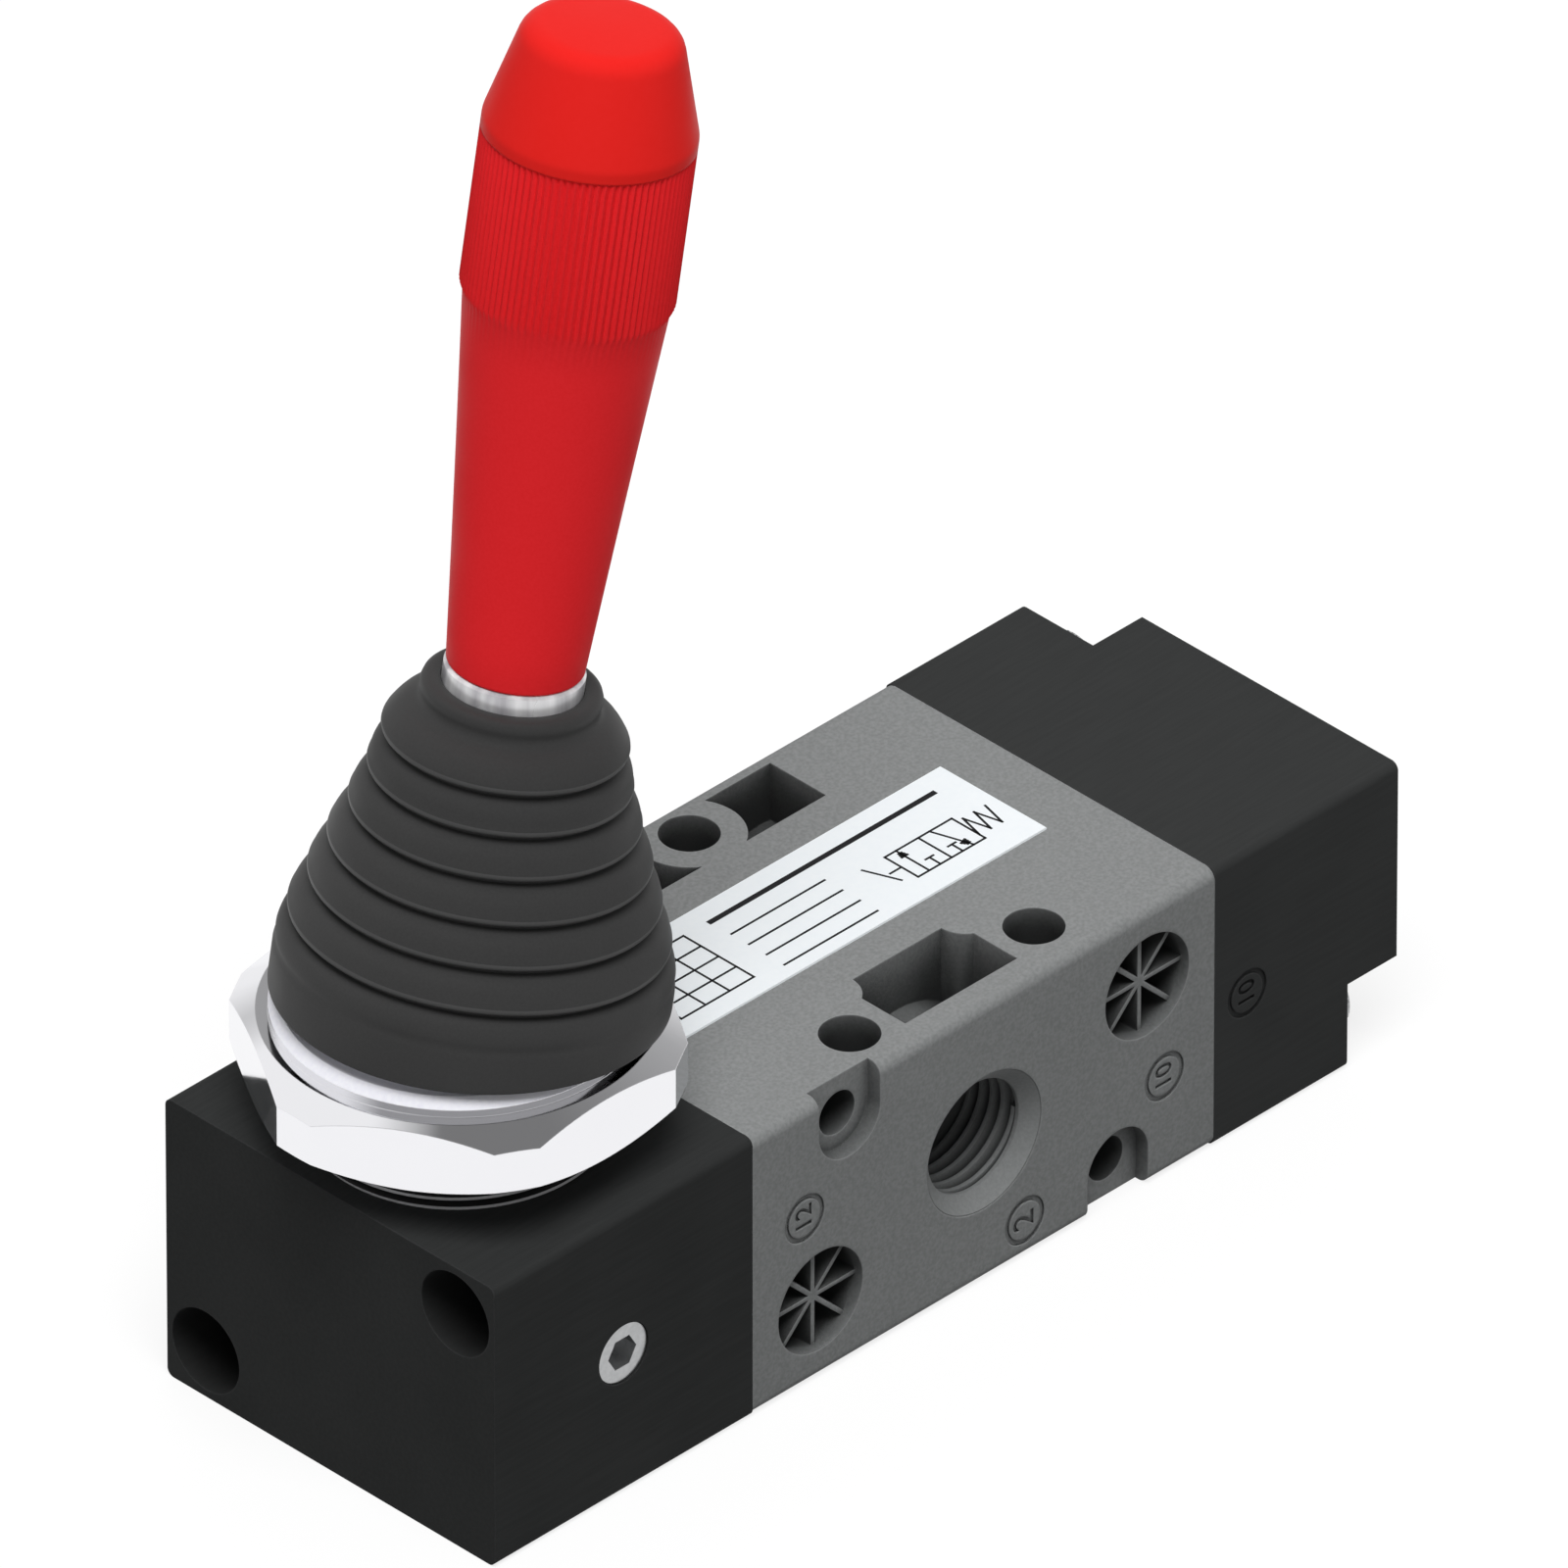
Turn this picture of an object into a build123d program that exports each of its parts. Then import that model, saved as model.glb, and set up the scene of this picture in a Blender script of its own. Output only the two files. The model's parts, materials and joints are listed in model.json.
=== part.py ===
from build123d import *
from math import cos, radians, sin, sqrt
import os

# Hand lever air valve, 3/2, spring return, with a panel mounting collar.
# Millimetres, Z up. The origin is the centre of the grey valve body's bottom face,
# +X runs along the spool towards the end cap, and the single front port faces -Y.

# Fits and running clearances
running_clearance = 0.05
press_clearance = 0.05
stop_gap = 0.15
boot_clearance = 0.3

# Grey valve body
body_length = 57.7
body_width = 41.0
body_height = 30.0
body_edge_radius = 1.2

# G1/4 ports: one in the front face, two in the rear face
port_thread_radius = 6.58
port_thread_depth = 9.0
port_mouth_radius = 7.15
port_mouth_depth = 1.0
port_passage_radius = 4.0
port_boss_wall = 2.32
port_spacing = 11.5

# Spool bore and what lines it
spool_bore_radius = 8.0
spool_bore_wall = 1.7
seal_width = 2.0
spacer_window_length = 5.5
spacer_window_width = 5.0
spacer_flow_radius = 5.2

# Holes straight down through the body
mount_hole_radius = 2.8
front_hole_spacing = 23.0
front_hole_edge_distance = 5.3
rear_hole_edge_distance = 4.2

# Holes through the body from front to rear, each in a half-round recess
side_hole_radius = 2.2
side_hole_x = 16.8
side_hole_edge_distance = 4.0
side_recess_radius = 3.8
side_recess_depth = 1.6

# Lightening pockets in the top and bottom faces
front_pocket_length = 14.0
front_pocket_width = 8.0
front_pocket_edge_distance = 6.9
pocket_notch_radius = 3.05
pocket_notch_overhang = 1.6
pocket_depth_limit = 11.0
rear_pocket_inner_x = 2.7
rear_pocket_length = 10.0
rear_pocket_width = 7.0
rear_pocket_edge_distance = 5.1
rear_hole_wall = 2.4

# Star-ribbed recesses in the front face
star_radius = 5.25
star_depth = 4.0
star_x = 20.4
star_edge_distance = 8.3
star_spoke_width = 0.8
star_spoke_drop = 1.0
star_hub_radius = 1.1
star_bar_count = 4

# Face seals between the body and its two ends
seal_ring_inner_radius = 9.8
seal_ring_width = 1.7
seal_ring_thickness = 1.2

# M4 socket screws that hold the two ends on
screw_radius = 2.0
screw_head_radius = 3.5
screw_head_height = 4.0
screw_socket_width = 3.0
screw_socket_depth = 2.0
screw_side_distance = 4.85
screw_top_distance = 5.0
screw_hole_radius = 2.2
housing_screw_length = 30.0
cap_screw_length = 22.0
tapped_hole_spare = 0.4

# Black lever housing
housing_length = 31.9
housing_edge_radius = 0.8
housing_counterbore_radius = 4.2
housing_counterbore_depth = 9.5
housing_end_wall = 3.2
lever_well_radius = 6.0

# Black end cap: a full-section base and a nose with two square notches
cap_base_length = 16.9
cap_nose_length = 6.2
cap_notch_size = 9.1
cap_counterbore_radius = 3.8
cap_counterbore_depth = 2.0
cap_end_wall = 3.5
spring_bore_radius = 7.0

# Threaded collar, its M28 nut and the cross pin
collar_thread_radius = 13.8
collar_bore_radius = 8.0
collar_spigot_radius = 11.0
collar_spigot_length = 6.0
collar_height = 14.0
nut_across_flats = 37.2
nut_corner_radius = 20.4
nut_face_radius = 17.46
nut_chamfer_height = 1.7
nut_height = 7.3
panel_gap = 4.7
nut_ring_radius = 16.7
nut_ring_height = 1.7
nut_neck_radius = 14.6
nut_neck_height = 4.0
nut_lip_radius = 9.5
nut_ring_chamfer = 0.3
pin_radius = 2.0
pin_length = 25.8

# Lever, measured along its own axis from the pivot
pivot_rise = 5.0
lever_tilt = 10.15
ball_radius = 3.5
arm_radius = 2.2
arm_flare_start = 9.0
hub_radius = 4.2
hub_neck_radius = 3.4
hub_length = 11.6
shank_radius = 4.6
shank_start = 6.0
shank_top = 34.5
stud_radius = 4.0
stud_length = 27.5
ferrule_radius = 6.3
ferrule_length = 6.3
ferrule_chamfer = 0.3

# Red knob, turned profile along the lever
knob_foot_radius = 6.14
knob_middle_radius = 7.3
knob_middle_share = 0.4
knob_shoulder_radius = 9.15
knob_taper_length = 36.4
knob_band_radius = 9.55
knob_band_length = 17.1
knob_crown_radius = 6.95
knob_crown_length = 9.6
knob_crown_fillet = 1.1
knob_bore_spare = 0.5

# Rubber boot: a neck round the ferrule, six folds, a shoulder and a cuff over the nut
neck_radius = 8.1
neck_top = 38.9
neck_waist = 37.5
neck_waist_radius = 7.9
neck_wall_length = 4.2
neck_gap = 0.2
first_fold_height = 33.4
fold_pitch = 3.72
fold_crest_radii = (10.9, 11.7, 12.9, 14.3, 15.6, 16.9)
fold_nose = 0.7
fold_lip = 0.3
fold_depth = 1.1
boot_wall = 1.1
shoulder_radius = 17.66
shoulder_height = 12.4
cuff_groove_height = 11.5
cuff_groove_depth = 0.35
cuff_radius = 17.78
cuff_top = 10.9
cuff_wall = 1.15
cuff_reach = 4.0
cuff_tilt = 5.6
cuff_height = 42.66
cuff_offset_x = 1.5

# Slider, spool and return spring
slider_radius = 6.5
slider_left_length = 8.1
slider_chamfer = 0.5
ball_clearance = 0.1
guide_slot_depth = 1.5
spool_radius = 4.5
spool_waist_radius = 3.0
spool_waist_start = -9.0
spool_waist_end = 3.0
spool_waist_slope = 1.0
spool_stub_radius = 2.4
spool_stub_length = 5.0
seat_flange_radius = 6.5
seat_flange_thickness = 2.0
seat_spigot_radius = 3.6
seat_spigot_length = 3.0
seat_stub_length = 4.0
spring_mean_radius = 5.25
spring_wire_radius = 0.58
spring_wire_sides = 4
spring_turns = 4.5

# M6 set screw that guides the slider
guide_screw_radius = 3.0
guide_dog_radius = 2.0
guide_dog_length = 3.0
guide_socket_width = 3.0
guide_socket_depth = 2.5
guide_screw_sink = 0.2
guide_tip_gap = 0.2

# Label plate on the top face
label_length = 45.6
label_width = 13.3
label_thickness = 0.2
label_y = 1.05
label_corner_radius = 0.6

# Places worked out from the sizes above
body_end_x = body_length / 2
front_y = -body_width / 2
rear_y = body_width / 2
spool_height = body_height / 2
front_hole_y = front_y + front_hole_edge_distance
rear_hole_y = rear_y - rear_hole_edge_distance
front_pocket_y = front_y + front_pocket_edge_distance
rear_pocket_y = rear_y - rear_pocket_edge_distance
star_rise = spool_height - star_edge_distance
screw_offset_y = rear_y - screw_side_distance
screw_offset_z = spool_height - screw_top_distance
housing_end_x = -body_end_x - housing_length
cap_base_x = body_end_x + cap_base_length
cap_end_x = cap_base_x + cap_nose_length
collar_x = -body_end_x - housing_length / 2
pivot_height = body_height + pivot_rise
arm_length = pivot_height - spool_height
port_bore_radius = port_thread_radius + port_boss_wall
spacer_radius = spool_bore_radius - press_clearance
seal_inner_radius = spool_radius + running_clearance
seal_places = [port_spacing * step for step in (-1.5, -0.5, 0.5, 1.5)]
port_spacer_length = port_spacing - seal_width
housing_counterbore_floor = housing_end_x + housing_counterbore_depth
cap_counterbore_floor = cap_base_x - cap_counterbore_depth
pin_hole_radius = pin_radius + running_clearance
slider_bore_radius = slider_radius + running_clearance
slider_bore_end = housing_end_x + housing_end_wall
spring_floor_x = cap_end_x - cap_end_wall
collar_top = body_height + collar_height
nut_bottom = body_height + panel_gap
nut_top = nut_bottom + nut_height
lever_lean = sin(radians(lever_tilt))
lever_rise = cos(radians(lever_tilt))
ball_x = collar_x - arm_length * lever_lean
stroke = 2 * arm_length * lever_lean
slider_left = ball_x - slider_left_length
slider_right = -body_end_x - stroke - stop_gap
seat_left = body_end_x + stop_gap
ferrule_top = shank_top + ferrule_length
knob_shoulder_height = ferrule_top + knob_taper_length
knob_band_top = knob_shoulder_height + knob_band_length
knob_top = knob_band_top + knob_crown_length

# Planes and axes that several pieces share
pivot = Vector(collar_x, 0, pivot_height)
lever_direction = Vector(lever_lean, 0, lever_rise)
lever_axis = Axis(pivot, lever_direction)
lever_plane = Plane(origin=pivot, x_dir=(lever_rise, 0, -lever_lean), z_dir=(0, -1, 0))
spool_axis = Axis((0, 0, spool_height), (1, 0, 0))
spool_plane = Plane(origin=(0, 0, spool_height), x_dir=(1, 0, 0), z_dir=(0, -1, 0))
collar_plane = Plane(origin=(collar_x, 0, 0), x_dir=(1, 0, 0), z_dir=(0, -1, 0))
collar_axis = Axis((collar_x, 0, 0), (0, 0, 1))
middle_plane = Plane.XY.offset(spool_height)


def front_plane(x, z):
    """A plane on the front face, looking out towards -Y, with Z up."""
    return Plane(origin=(x, front_y, z), x_dir=(1, 0, 0), z_dir=(0, -1, 0))


def rear_plane(x, z):
    """A plane on the rear face, looking out towards +Y, with Z up."""
    return Plane(origin=(x, rear_y, z), x_dir=(-1, 0, 0), z_dir=(0, 1, 0))


def section_plane(x):
    """A plane across the valve at x, looking towards +X, centred on the spool axis."""
    return Plane(origin=(x, 0, spool_height), x_dir=(0, 1, 0), z_dir=(1, 0, 0))


def left_plane(x):
    """A plane across the valve at x, looking towards -X, centred on the spool axis."""
    return Plane(origin=(x, 0, spool_height), x_dir=(0, -1, 0), z_dir=(-1, 0, 0))


os.makedirs("parts", exist_ok=True)

# Front pocket, cut down to the round boss of the front port, above and below
with BuildPart() as front_pocket:
    with BuildSketch(Plane.XY.offset(body_height)):
        with Locations((0, front_pocket_y)):
            Rectangle(front_pocket_length, front_pocket_width)
        notch_x = front_pocket_length / 2 + pocket_notch_overhang
        notch_y = front_pocket_y + front_pocket_width / 2
        with Locations((-notch_x, notch_y), (notch_x, notch_y)):
            Circle(pocket_notch_radius, mode=Mode.SUBTRACT)
    extrude(amount=-pocket_depth_limit)
    with BuildSketch(front_plane(0, spool_height)):
        Circle(port_bore_radius)
    extrude(amount=-body_width / 2, mode=Mode.SUBTRACT)
    with BuildSketch(section_plane(0)):
        Circle(spool_bore_radius + spool_bore_wall)
    extrude(amount=body_end_x, both=True, mode=Mode.SUBTRACT)
    mirror(about=middle_plane)

# Rear pockets beside the rear hole, cut down to the bosses of the rear ports
with BuildPart() as rear_pockets:
    with BuildSketch(Plane.XY.offset(body_height)):
        with Locations((rear_pocket_inner_x, rear_pocket_y)):
            Rectangle(rear_pocket_length, rear_pocket_width, align=(Align.MIN, Align.CENTER))
        with Locations((0, rear_hole_y)):
            Circle(mount_hole_radius + rear_hole_wall, mode=Mode.SUBTRACT)
    extrude(amount=-pocket_depth_limit)
    with BuildSketch(rear_plane(port_spacing, spool_height)):
        Circle(port_bore_radius)
    extrude(amount=-body_width / 2, mode=Mode.SUBTRACT)
    with BuildSketch(section_plane(0)):
        Circle(spool_bore_radius + spool_bore_wall)
    extrude(amount=body_end_x, both=True, mode=Mode.SUBTRACT)
    mirror(about=middle_plane)
    mirror(about=Plane.YZ)

# Grey valve body
with BuildPart() as valve_body:
    with BuildSketch(section_plane(-body_end_x)):
        RectangleRounded(body_width, body_height, body_edge_radius)
    extrude(amount=body_length)
    with BuildSketch(section_plane(-body_end_x)):
        Circle(spool_bore_radius)
    extrude(amount=body_length, mode=Mode.SUBTRACT)
    add(front_pocket.part, mode=Mode.SUBTRACT)
    add(rear_pockets.part, mode=Mode.SUBTRACT)
    with Locations(front_plane(0, spool_height), rear_plane(-port_spacing, spool_height),
                   rear_plane(port_spacing, spool_height)):
        CounterBoreHole(port_thread_radius, port_mouth_radius, port_mouth_depth,
                        depth=port_mouth_depth + port_thread_depth)
        Hole(port_passage_radius, depth=body_width / 2)
    with Locations((-front_hole_spacing / 2, front_hole_y, body_height),
                   (front_hole_spacing / 2, front_hole_y, body_height),
                   (0, rear_hole_y, body_height)):
        Hole(mount_hole_radius, depth=body_height)
    for side in (-1, 1):
        hole_z = spool_height - side * (spool_height - side_hole_edge_distance)
        with Locations(front_plane(side * side_hole_x, hole_z)):
            Hole(side_hole_radius, depth=body_width)
        for recess_plane in (front_plane(side * side_hole_x, hole_z),
                             rear_plane(side * side_hole_x, hole_z)):
            with BuildSketch(recess_plane):
                Circle(side_recess_radius)
                with Locations((0, -side * side_hole_edge_distance / 2)):
                    Rectangle(2 * side_recess_radius, side_hole_edge_distance)
            extrude(amount=-side_recess_depth, mode=Mode.SUBTRACT)
        star_plane = front_plane(side * star_x, spool_height + side * star_rise)
        with BuildSketch(star_plane):
            Circle(star_radius)
        extrude(amount=-star_depth, mode=Mode.SUBTRACT)
        with BuildSketch(star_plane.offset(-star_depth)):
            with PolarLocations(0, star_bar_count, angular_range=180):
                Rectangle(2 * star_radius + star_spoke_width / 2, star_spoke_width)
            Circle(star_hub_radius)
        extrude(amount=star_depth - star_spoke_drop)
    for end_plane, screw_length, seat_x in (
            (left_plane(-body_end_x), housing_screw_length, housing_counterbore_floor),
            (section_plane(body_end_x), cap_screw_length, cap_counterbore_floor)):
        tapped_depth = screw_length - (abs(seat_x) - body_end_x) + tapped_hole_spare
        with BuildSketch(end_plane):
            with Locations((screw_offset_y, screw_offset_z), (-screw_offset_y, -screw_offset_z)):
                Circle(screw_radius + press_clearance)
        extrude(amount=-tapped_depth, mode=Mode.SUBTRACT)
        with BuildSketch(end_plane):
            Circle(seal_ring_inner_radius + seal_ring_width + press_clearance)
            Circle(seal_ring_inner_radius - press_clearance, mode=Mode.SUBTRACT)
        extrude(amount=-seal_ring_thickness, mode=Mode.SUBTRACT)
valve_body.part.label = "valve_body"
export_step(valve_body.part, "parts/valve_body.step")

# Face seals in the body's end grooves
with BuildPart() as housing_seal:
    with BuildSketch(section_plane(-body_end_x)):
        Circle(seal_ring_inner_radius + seal_ring_width)
        Circle(seal_ring_inner_radius, mode=Mode.SUBTRACT)
    extrude(amount=seal_ring_thickness)
housing_seal.part.label = "housing_seal"
export_step(housing_seal.part, "parts/housing_seal.step")

with BuildPart() as end_cap_seal:
    with BuildSketch(section_plane(body_end_x)):
        Circle(seal_ring_inner_radius + seal_ring_width)
        Circle(seal_ring_inner_radius, mode=Mode.SUBTRACT)
    extrude(amount=-seal_ring_thickness)
end_cap_seal.part.label = "end_cap_seal"
export_step(end_cap_seal.part, "parts/end_cap_seal.step")

# Black lever housing
with BuildPart() as lever_housing:
    with BuildSketch(section_plane(housing_end_x)):
        RectangleRounded(body_width, body_height, housing_edge_radius)
    extrude(amount=housing_length)
    with BuildSketch(section_plane(-body_end_x)):
        Circle(slider_bore_radius)
    extrude(amount=slider_bore_end + body_end_x, mode=Mode.SUBTRACT)
    with BuildSketch(Plane.XY.offset(spool_height)):
        with Locations((collar_x, 0)):
            Circle(lever_well_radius)
    extrude(amount=body_height - spool_height, mode=Mode.SUBTRACT)
    with BuildSketch(Plane.XY.offset(body_height)):
        with Locations((collar_x, 0)):
            Circle(collar_spigot_radius + press_clearance)
    extrude(amount=-collar_spigot_length, mode=Mode.SUBTRACT)
    with Locations(left_plane(housing_end_x)):
        with Locations((screw_offset_y, screw_offset_z), (-screw_offset_y, -screw_offset_z)):
            CounterBoreHole(screw_hole_radius, housing_counterbore_radius, housing_counterbore_depth,
                            depth=housing_length)
    with Locations(front_plane(collar_x, spool_height)):
        Hole(guide_screw_radius + press_clearance, depth=body_width / 2)
lever_housing.part.label = "lever_housing"
export_step(lever_housing.part, "parts/lever_housing.step")

# Black end cap
with BuildPart() as end_cap:
    with BuildSketch(section_plane(body_end_x)):
        RectangleRounded(body_width, body_height, housing_edge_radius)
    extrude(amount=cap_base_length + cap_nose_length)
    with BuildSketch(section_plane(cap_end_x)):
        for side in (-1, 1):
            with Locations((side * body_width / 2, side * body_height / 2)):
                Rectangle(2 * cap_notch_size, 2 * cap_notch_size)
    extrude(amount=-cap_nose_length, mode=Mode.SUBTRACT)
    with BuildSketch(section_plane(body_end_x)):
        Circle(spring_bore_radius)
    extrude(amount=spring_floor_x - body_end_x, mode=Mode.SUBTRACT)
    with Locations(section_plane(cap_base_x)):
        with Locations((screw_offset_y, screw_offset_z), (-screw_offset_y, -screw_offset_z)):
            CounterBoreHole(screw_hole_radius, cap_counterbore_radius, cap_counterbore_depth,
                            depth=cap_base_length)
end_cap.part.label = "end_cap"
export_step(end_cap.part, "parts/end_cap.step")

# Socket head screws through the lever housing
with BuildPart() as housing_screws:
    with BuildSketch(left_plane(housing_counterbore_floor)):
        with Locations((screw_offset_y, screw_offset_z), (-screw_offset_y, -screw_offset_z)):
            Circle(screw_head_radius)
    extrude(amount=screw_head_height)
    with BuildSketch(left_plane(housing_counterbore_floor)):
        with Locations((screw_offset_y, screw_offset_z), (-screw_offset_y, -screw_offset_z)):
            Circle(screw_radius)
    extrude(amount=-housing_screw_length)
    with BuildSketch(left_plane(housing_counterbore_floor - screw_head_height)):
        with Locations((screw_offset_y, screw_offset_z), (-screw_offset_y, -screw_offset_z)):
            RegularPolygon(screw_socket_width / 2, 6, major_radius=False)
    extrude(amount=-screw_socket_depth, mode=Mode.SUBTRACT)
housing_screws.part.label = "housing_screws"
export_step(housing_screws.part, "parts/housing_screws.step")

# Socket head screws through the end cap
with BuildPart() as end_cap_screws:
    with BuildSketch(section_plane(cap_counterbore_floor)):
        with Locations((screw_offset_y, screw_offset_z), (-screw_offset_y, -screw_offset_z)):
            Circle(screw_head_radius)
    extrude(amount=screw_head_height)
    with BuildSketch(section_plane(cap_counterbore_floor)):
        with Locations((screw_offset_y, screw_offset_z), (-screw_offset_y, -screw_offset_z)):
            Circle(screw_radius)
    extrude(amount=-cap_screw_length)
    with BuildSketch(section_plane(cap_counterbore_floor + screw_head_height)):
        with Locations((screw_offset_y, screw_offset_z), (-screw_offset_y, -screw_offset_z)):
            RegularPolygon(screw_socket_width / 2, 6, major_radius=False)
    extrude(amount=-screw_socket_depth, mode=Mode.SUBTRACT)
end_cap_screws.part.label = "end_cap_screws"
export_step(end_cap_screws.part, "parts/end_cap_screws.step")

# Threaded collar, its spigot sunk in the housing and cross-drilled for the pivot pin
with BuildPart() as threaded_collar:
    with BuildSketch(collar_plane):
        with BuildLine():
            Polyline((collar_bore_radius, body_height - collar_spigot_length),
                     (collar_spigot_radius, body_height - collar_spigot_length),
                     (collar_spigot_radius, body_height),
                     (collar_thread_radius, body_height),
                     (collar_thread_radius, collar_top),
                     (collar_bore_radius, collar_top), close=True)
        make_face()
    revolve(axis=collar_axis)
    with BuildSketch(Plane(origin=pivot, x_dir=(1, 0, 0), z_dir=(0, -1, 0))):
        Circle(pin_hole_radius)
    extrude(amount=body_width / 2, both=True, mode=Mode.SUBTRACT)
threaded_collar.part.label = "threaded_collar"
export_step(threaded_collar.part, "parts/threaded_collar.step")

# Panel nut: a chamfered hexagon, a ring for the boot's cuff, and a neck that caps the collar
with BuildPart() as panel_nut:
    with BuildSketch(Plane.XY.offset(nut_bottom)):
        with Locations((collar_x, 0)):
            RegularPolygon(nut_across_flats / 2, 6, major_radius=False)
    extrude(amount=nut_height)
    with BuildSketch(collar_plane):
        with BuildLine():
            Polyline((0, nut_bottom), (nut_face_radius, nut_bottom),
                     (nut_corner_radius, nut_bottom + nut_chamfer_height),
                     (nut_corner_radius, nut_top - nut_chamfer_height),
                     (nut_face_radius, nut_top), (0, nut_top), close=True)
        make_face()
    revolve(axis=collar_axis, mode=Mode.INTERSECT)
    with BuildSketch(collar_plane):
        with BuildLine():
            Polyline((0, nut_top), (nut_ring_radius, nut_top),
                     (nut_ring_radius, nut_top + nut_ring_height - nut_ring_chamfer),
                     (nut_ring_radius - nut_ring_chamfer, nut_top + nut_ring_height),
                     (nut_neck_radius, nut_top + nut_ring_height),
                     (nut_neck_radius, nut_top + nut_neck_height),
                     (0, nut_top + nut_neck_height), close=True)
        make_face()
    revolve(axis=collar_axis)
    with BuildSketch(Plane.XY.offset(nut_bottom)):
        with Locations((collar_x, 0)):
            Circle(collar_thread_radius + press_clearance)
    extrude(amount=collar_top + stop_gap - nut_bottom, mode=Mode.SUBTRACT)
    with BuildSketch(Plane.XY.offset(nut_bottom)):
        with Locations((collar_x, 0)):
            Circle(nut_lip_radius)
    extrude(amount=nut_height + nut_neck_height, mode=Mode.SUBTRACT)
panel_nut.part.label = "panel_nut"
export_step(panel_nut.part, "parts/panel_nut.step")

# Pivot pin across the collar
with BuildPart() as pivot_pin:
    with BuildSketch(Plane(origin=pivot, x_dir=(1, 0, 0), z_dir=(0, -1, 0))):
        Circle(pin_radius)
    extrude(amount=pin_length / 2, both=True)
pivot_pin.part.label = "pivot_pin"
export_step(pivot_pin.part, "parts/pivot_pin.step")

# Set screw with a dog point that keeps the slider from turning
guide_dog_tip = guide_slot_depth - guide_tip_gap
with BuildPart() as guide_screw:
    screw_face = front_plane(collar_x, spool_height).offset(-guide_screw_sink)
    tip_y = -slider_radius + guide_dog_tip
    screw_reach = tip_y - (front_y + guide_screw_sink)
    with BuildSketch(screw_face):
        Circle(guide_screw_radius)
    extrude(amount=-(screw_reach - guide_dog_length))
    with BuildSketch(screw_face):
        Circle(guide_dog_radius)
    extrude(amount=-screw_reach)
    with BuildSketch(screw_face):
        RegularPolygon(guide_socket_width / 2, 6, major_radius=False)
    extrude(amount=-guide_socket_depth, mode=Mode.SUBTRACT)
guide_screw.part.label = "guide_screw"
export_step(guide_screw.part, "parts/guide_screw.step")

# Plain spacers between the outer seals and the two ends of the body
end_spacer_length = body_end_x - seal_places[-1] - seal_width / 2
with BuildPart() as lever_end_spacer:
    with BuildSketch(section_plane(-body_end_x)):
        Circle(spacer_radius)
        Circle(seal_inner_radius, mode=Mode.SUBTRACT)
    extrude(amount=end_spacer_length)
lever_end_spacer.part.label = "lever_end_spacer"
export_step(lever_end_spacer.part, "parts/lever_end_spacer.step")

with BuildPart() as cap_end_spacer:
    with BuildSketch(section_plane(body_end_x)):
        Circle(spacer_radius)
        Circle(seal_inner_radius, mode=Mode.SUBTRACT)
    extrude(amount=-end_spacer_length)
cap_end_spacer.part.label = "cap_end_spacer"
export_step(cap_end_spacer.part, "parts/cap_end_spacer.step")

# Port spacers: one at each port, with windows all round
with BuildPart() as port_spacers:
    for spacer_x in (-port_spacing, 0, port_spacing):
        with BuildSketch(section_plane(spacer_x)):
            Circle(spacer_radius)
            Circle(spacer_flow_radius, mode=Mode.SUBTRACT)
        extrude(amount=port_spacer_length / 2, both=True)
        for window_direction in ((0, 0, 1), (0, 1, 0)):
            with BuildSketch(Plane((spacer_x, 0, spool_height), x_dir=(1, 0, 0), z_dir=window_direction)):
                Rectangle(spacer_window_length, spacer_window_width)
            extrude(amount=spacer_radius, both=True, mode=Mode.SUBTRACT)
port_spacers.part.label = "port_spacers"
export_step(port_spacers.part, "parts/port_spacers.step")

# Spool seals between the spacers
with BuildPart() as spool_seals:
    for seal_x in seal_places:
        with BuildSketch(section_plane(seal_x)):
            Circle(spacer_radius)
            Circle(seal_inner_radius, mode=Mode.SUBTRACT)
        extrude(amount=seal_width / 2, both=True)
spool_seals.part.label = "spool_seals"
export_step(spool_seals.part, "parts/spool_seals.step")

# Lever rod: a ball at the bottom, the arm, the pivot hub, the shank and the knob's stud
ball_neck = sqrt(ball_radius ** 2 - arm_radius ** 2)
with BuildPart() as lever_rod:
    with BuildSketch(lever_plane):
        with BuildLine():
            ThreePointArc((0, -arm_length - ball_radius), (ball_radius, -arm_length),
                          (arm_radius, -arm_length + ball_neck))
            Polyline((arm_radius, -arm_length + ball_neck),
                     (arm_radius, -arm_flare_start),
                     (hub_neck_radius, -hub_radius),
                     (hub_neck_radius, hub_radius),
                     (shank_radius, shank_start),
                     (shank_radius, shank_top),
                     (stud_radius, shank_top),
                     (stud_radius, shank_top + stud_length),
                     (0, shank_top + stud_length),
                     (0, -arm_length - ball_radius))
        make_face()
    revolve(axis=lever_axis)
    with BuildSketch(Plane(origin=pivot, x_dir=(1, 0, 0), z_dir=(0, -1, 0))):
        Circle(hub_radius)
    extrude(amount=hub_length / 2, both=True)
    with BuildSketch(Plane(origin=pivot, x_dir=(1, 0, 0), z_dir=(0, -1, 0))):
        Circle(pin_hole_radius)
    extrude(amount=hub_length, both=True, mode=Mode.SUBTRACT)
lever_rod.part.label = "lever_rod"
export_step(lever_rod.part, "parts/lever_rod.step")

# Bright ferrule between the boot's neck and the knob
with BuildPart() as ferrule:
    with BuildSketch(lever_plane):
        with BuildLine():
            Polyline((stud_radius + press_clearance, shank_top),
                     (ferrule_radius, shank_top),
                     (ferrule_radius, ferrule_top - ferrule_chamfer),
                     (ferrule_radius - ferrule_chamfer, ferrule_top),
                     (stud_radius + press_clearance, ferrule_top), close=True)
        make_face()
    revolve(axis=lever_axis)
ferrule.part.label = "ferrule"
export_step(ferrule.part, "parts/ferrule.step")

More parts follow.
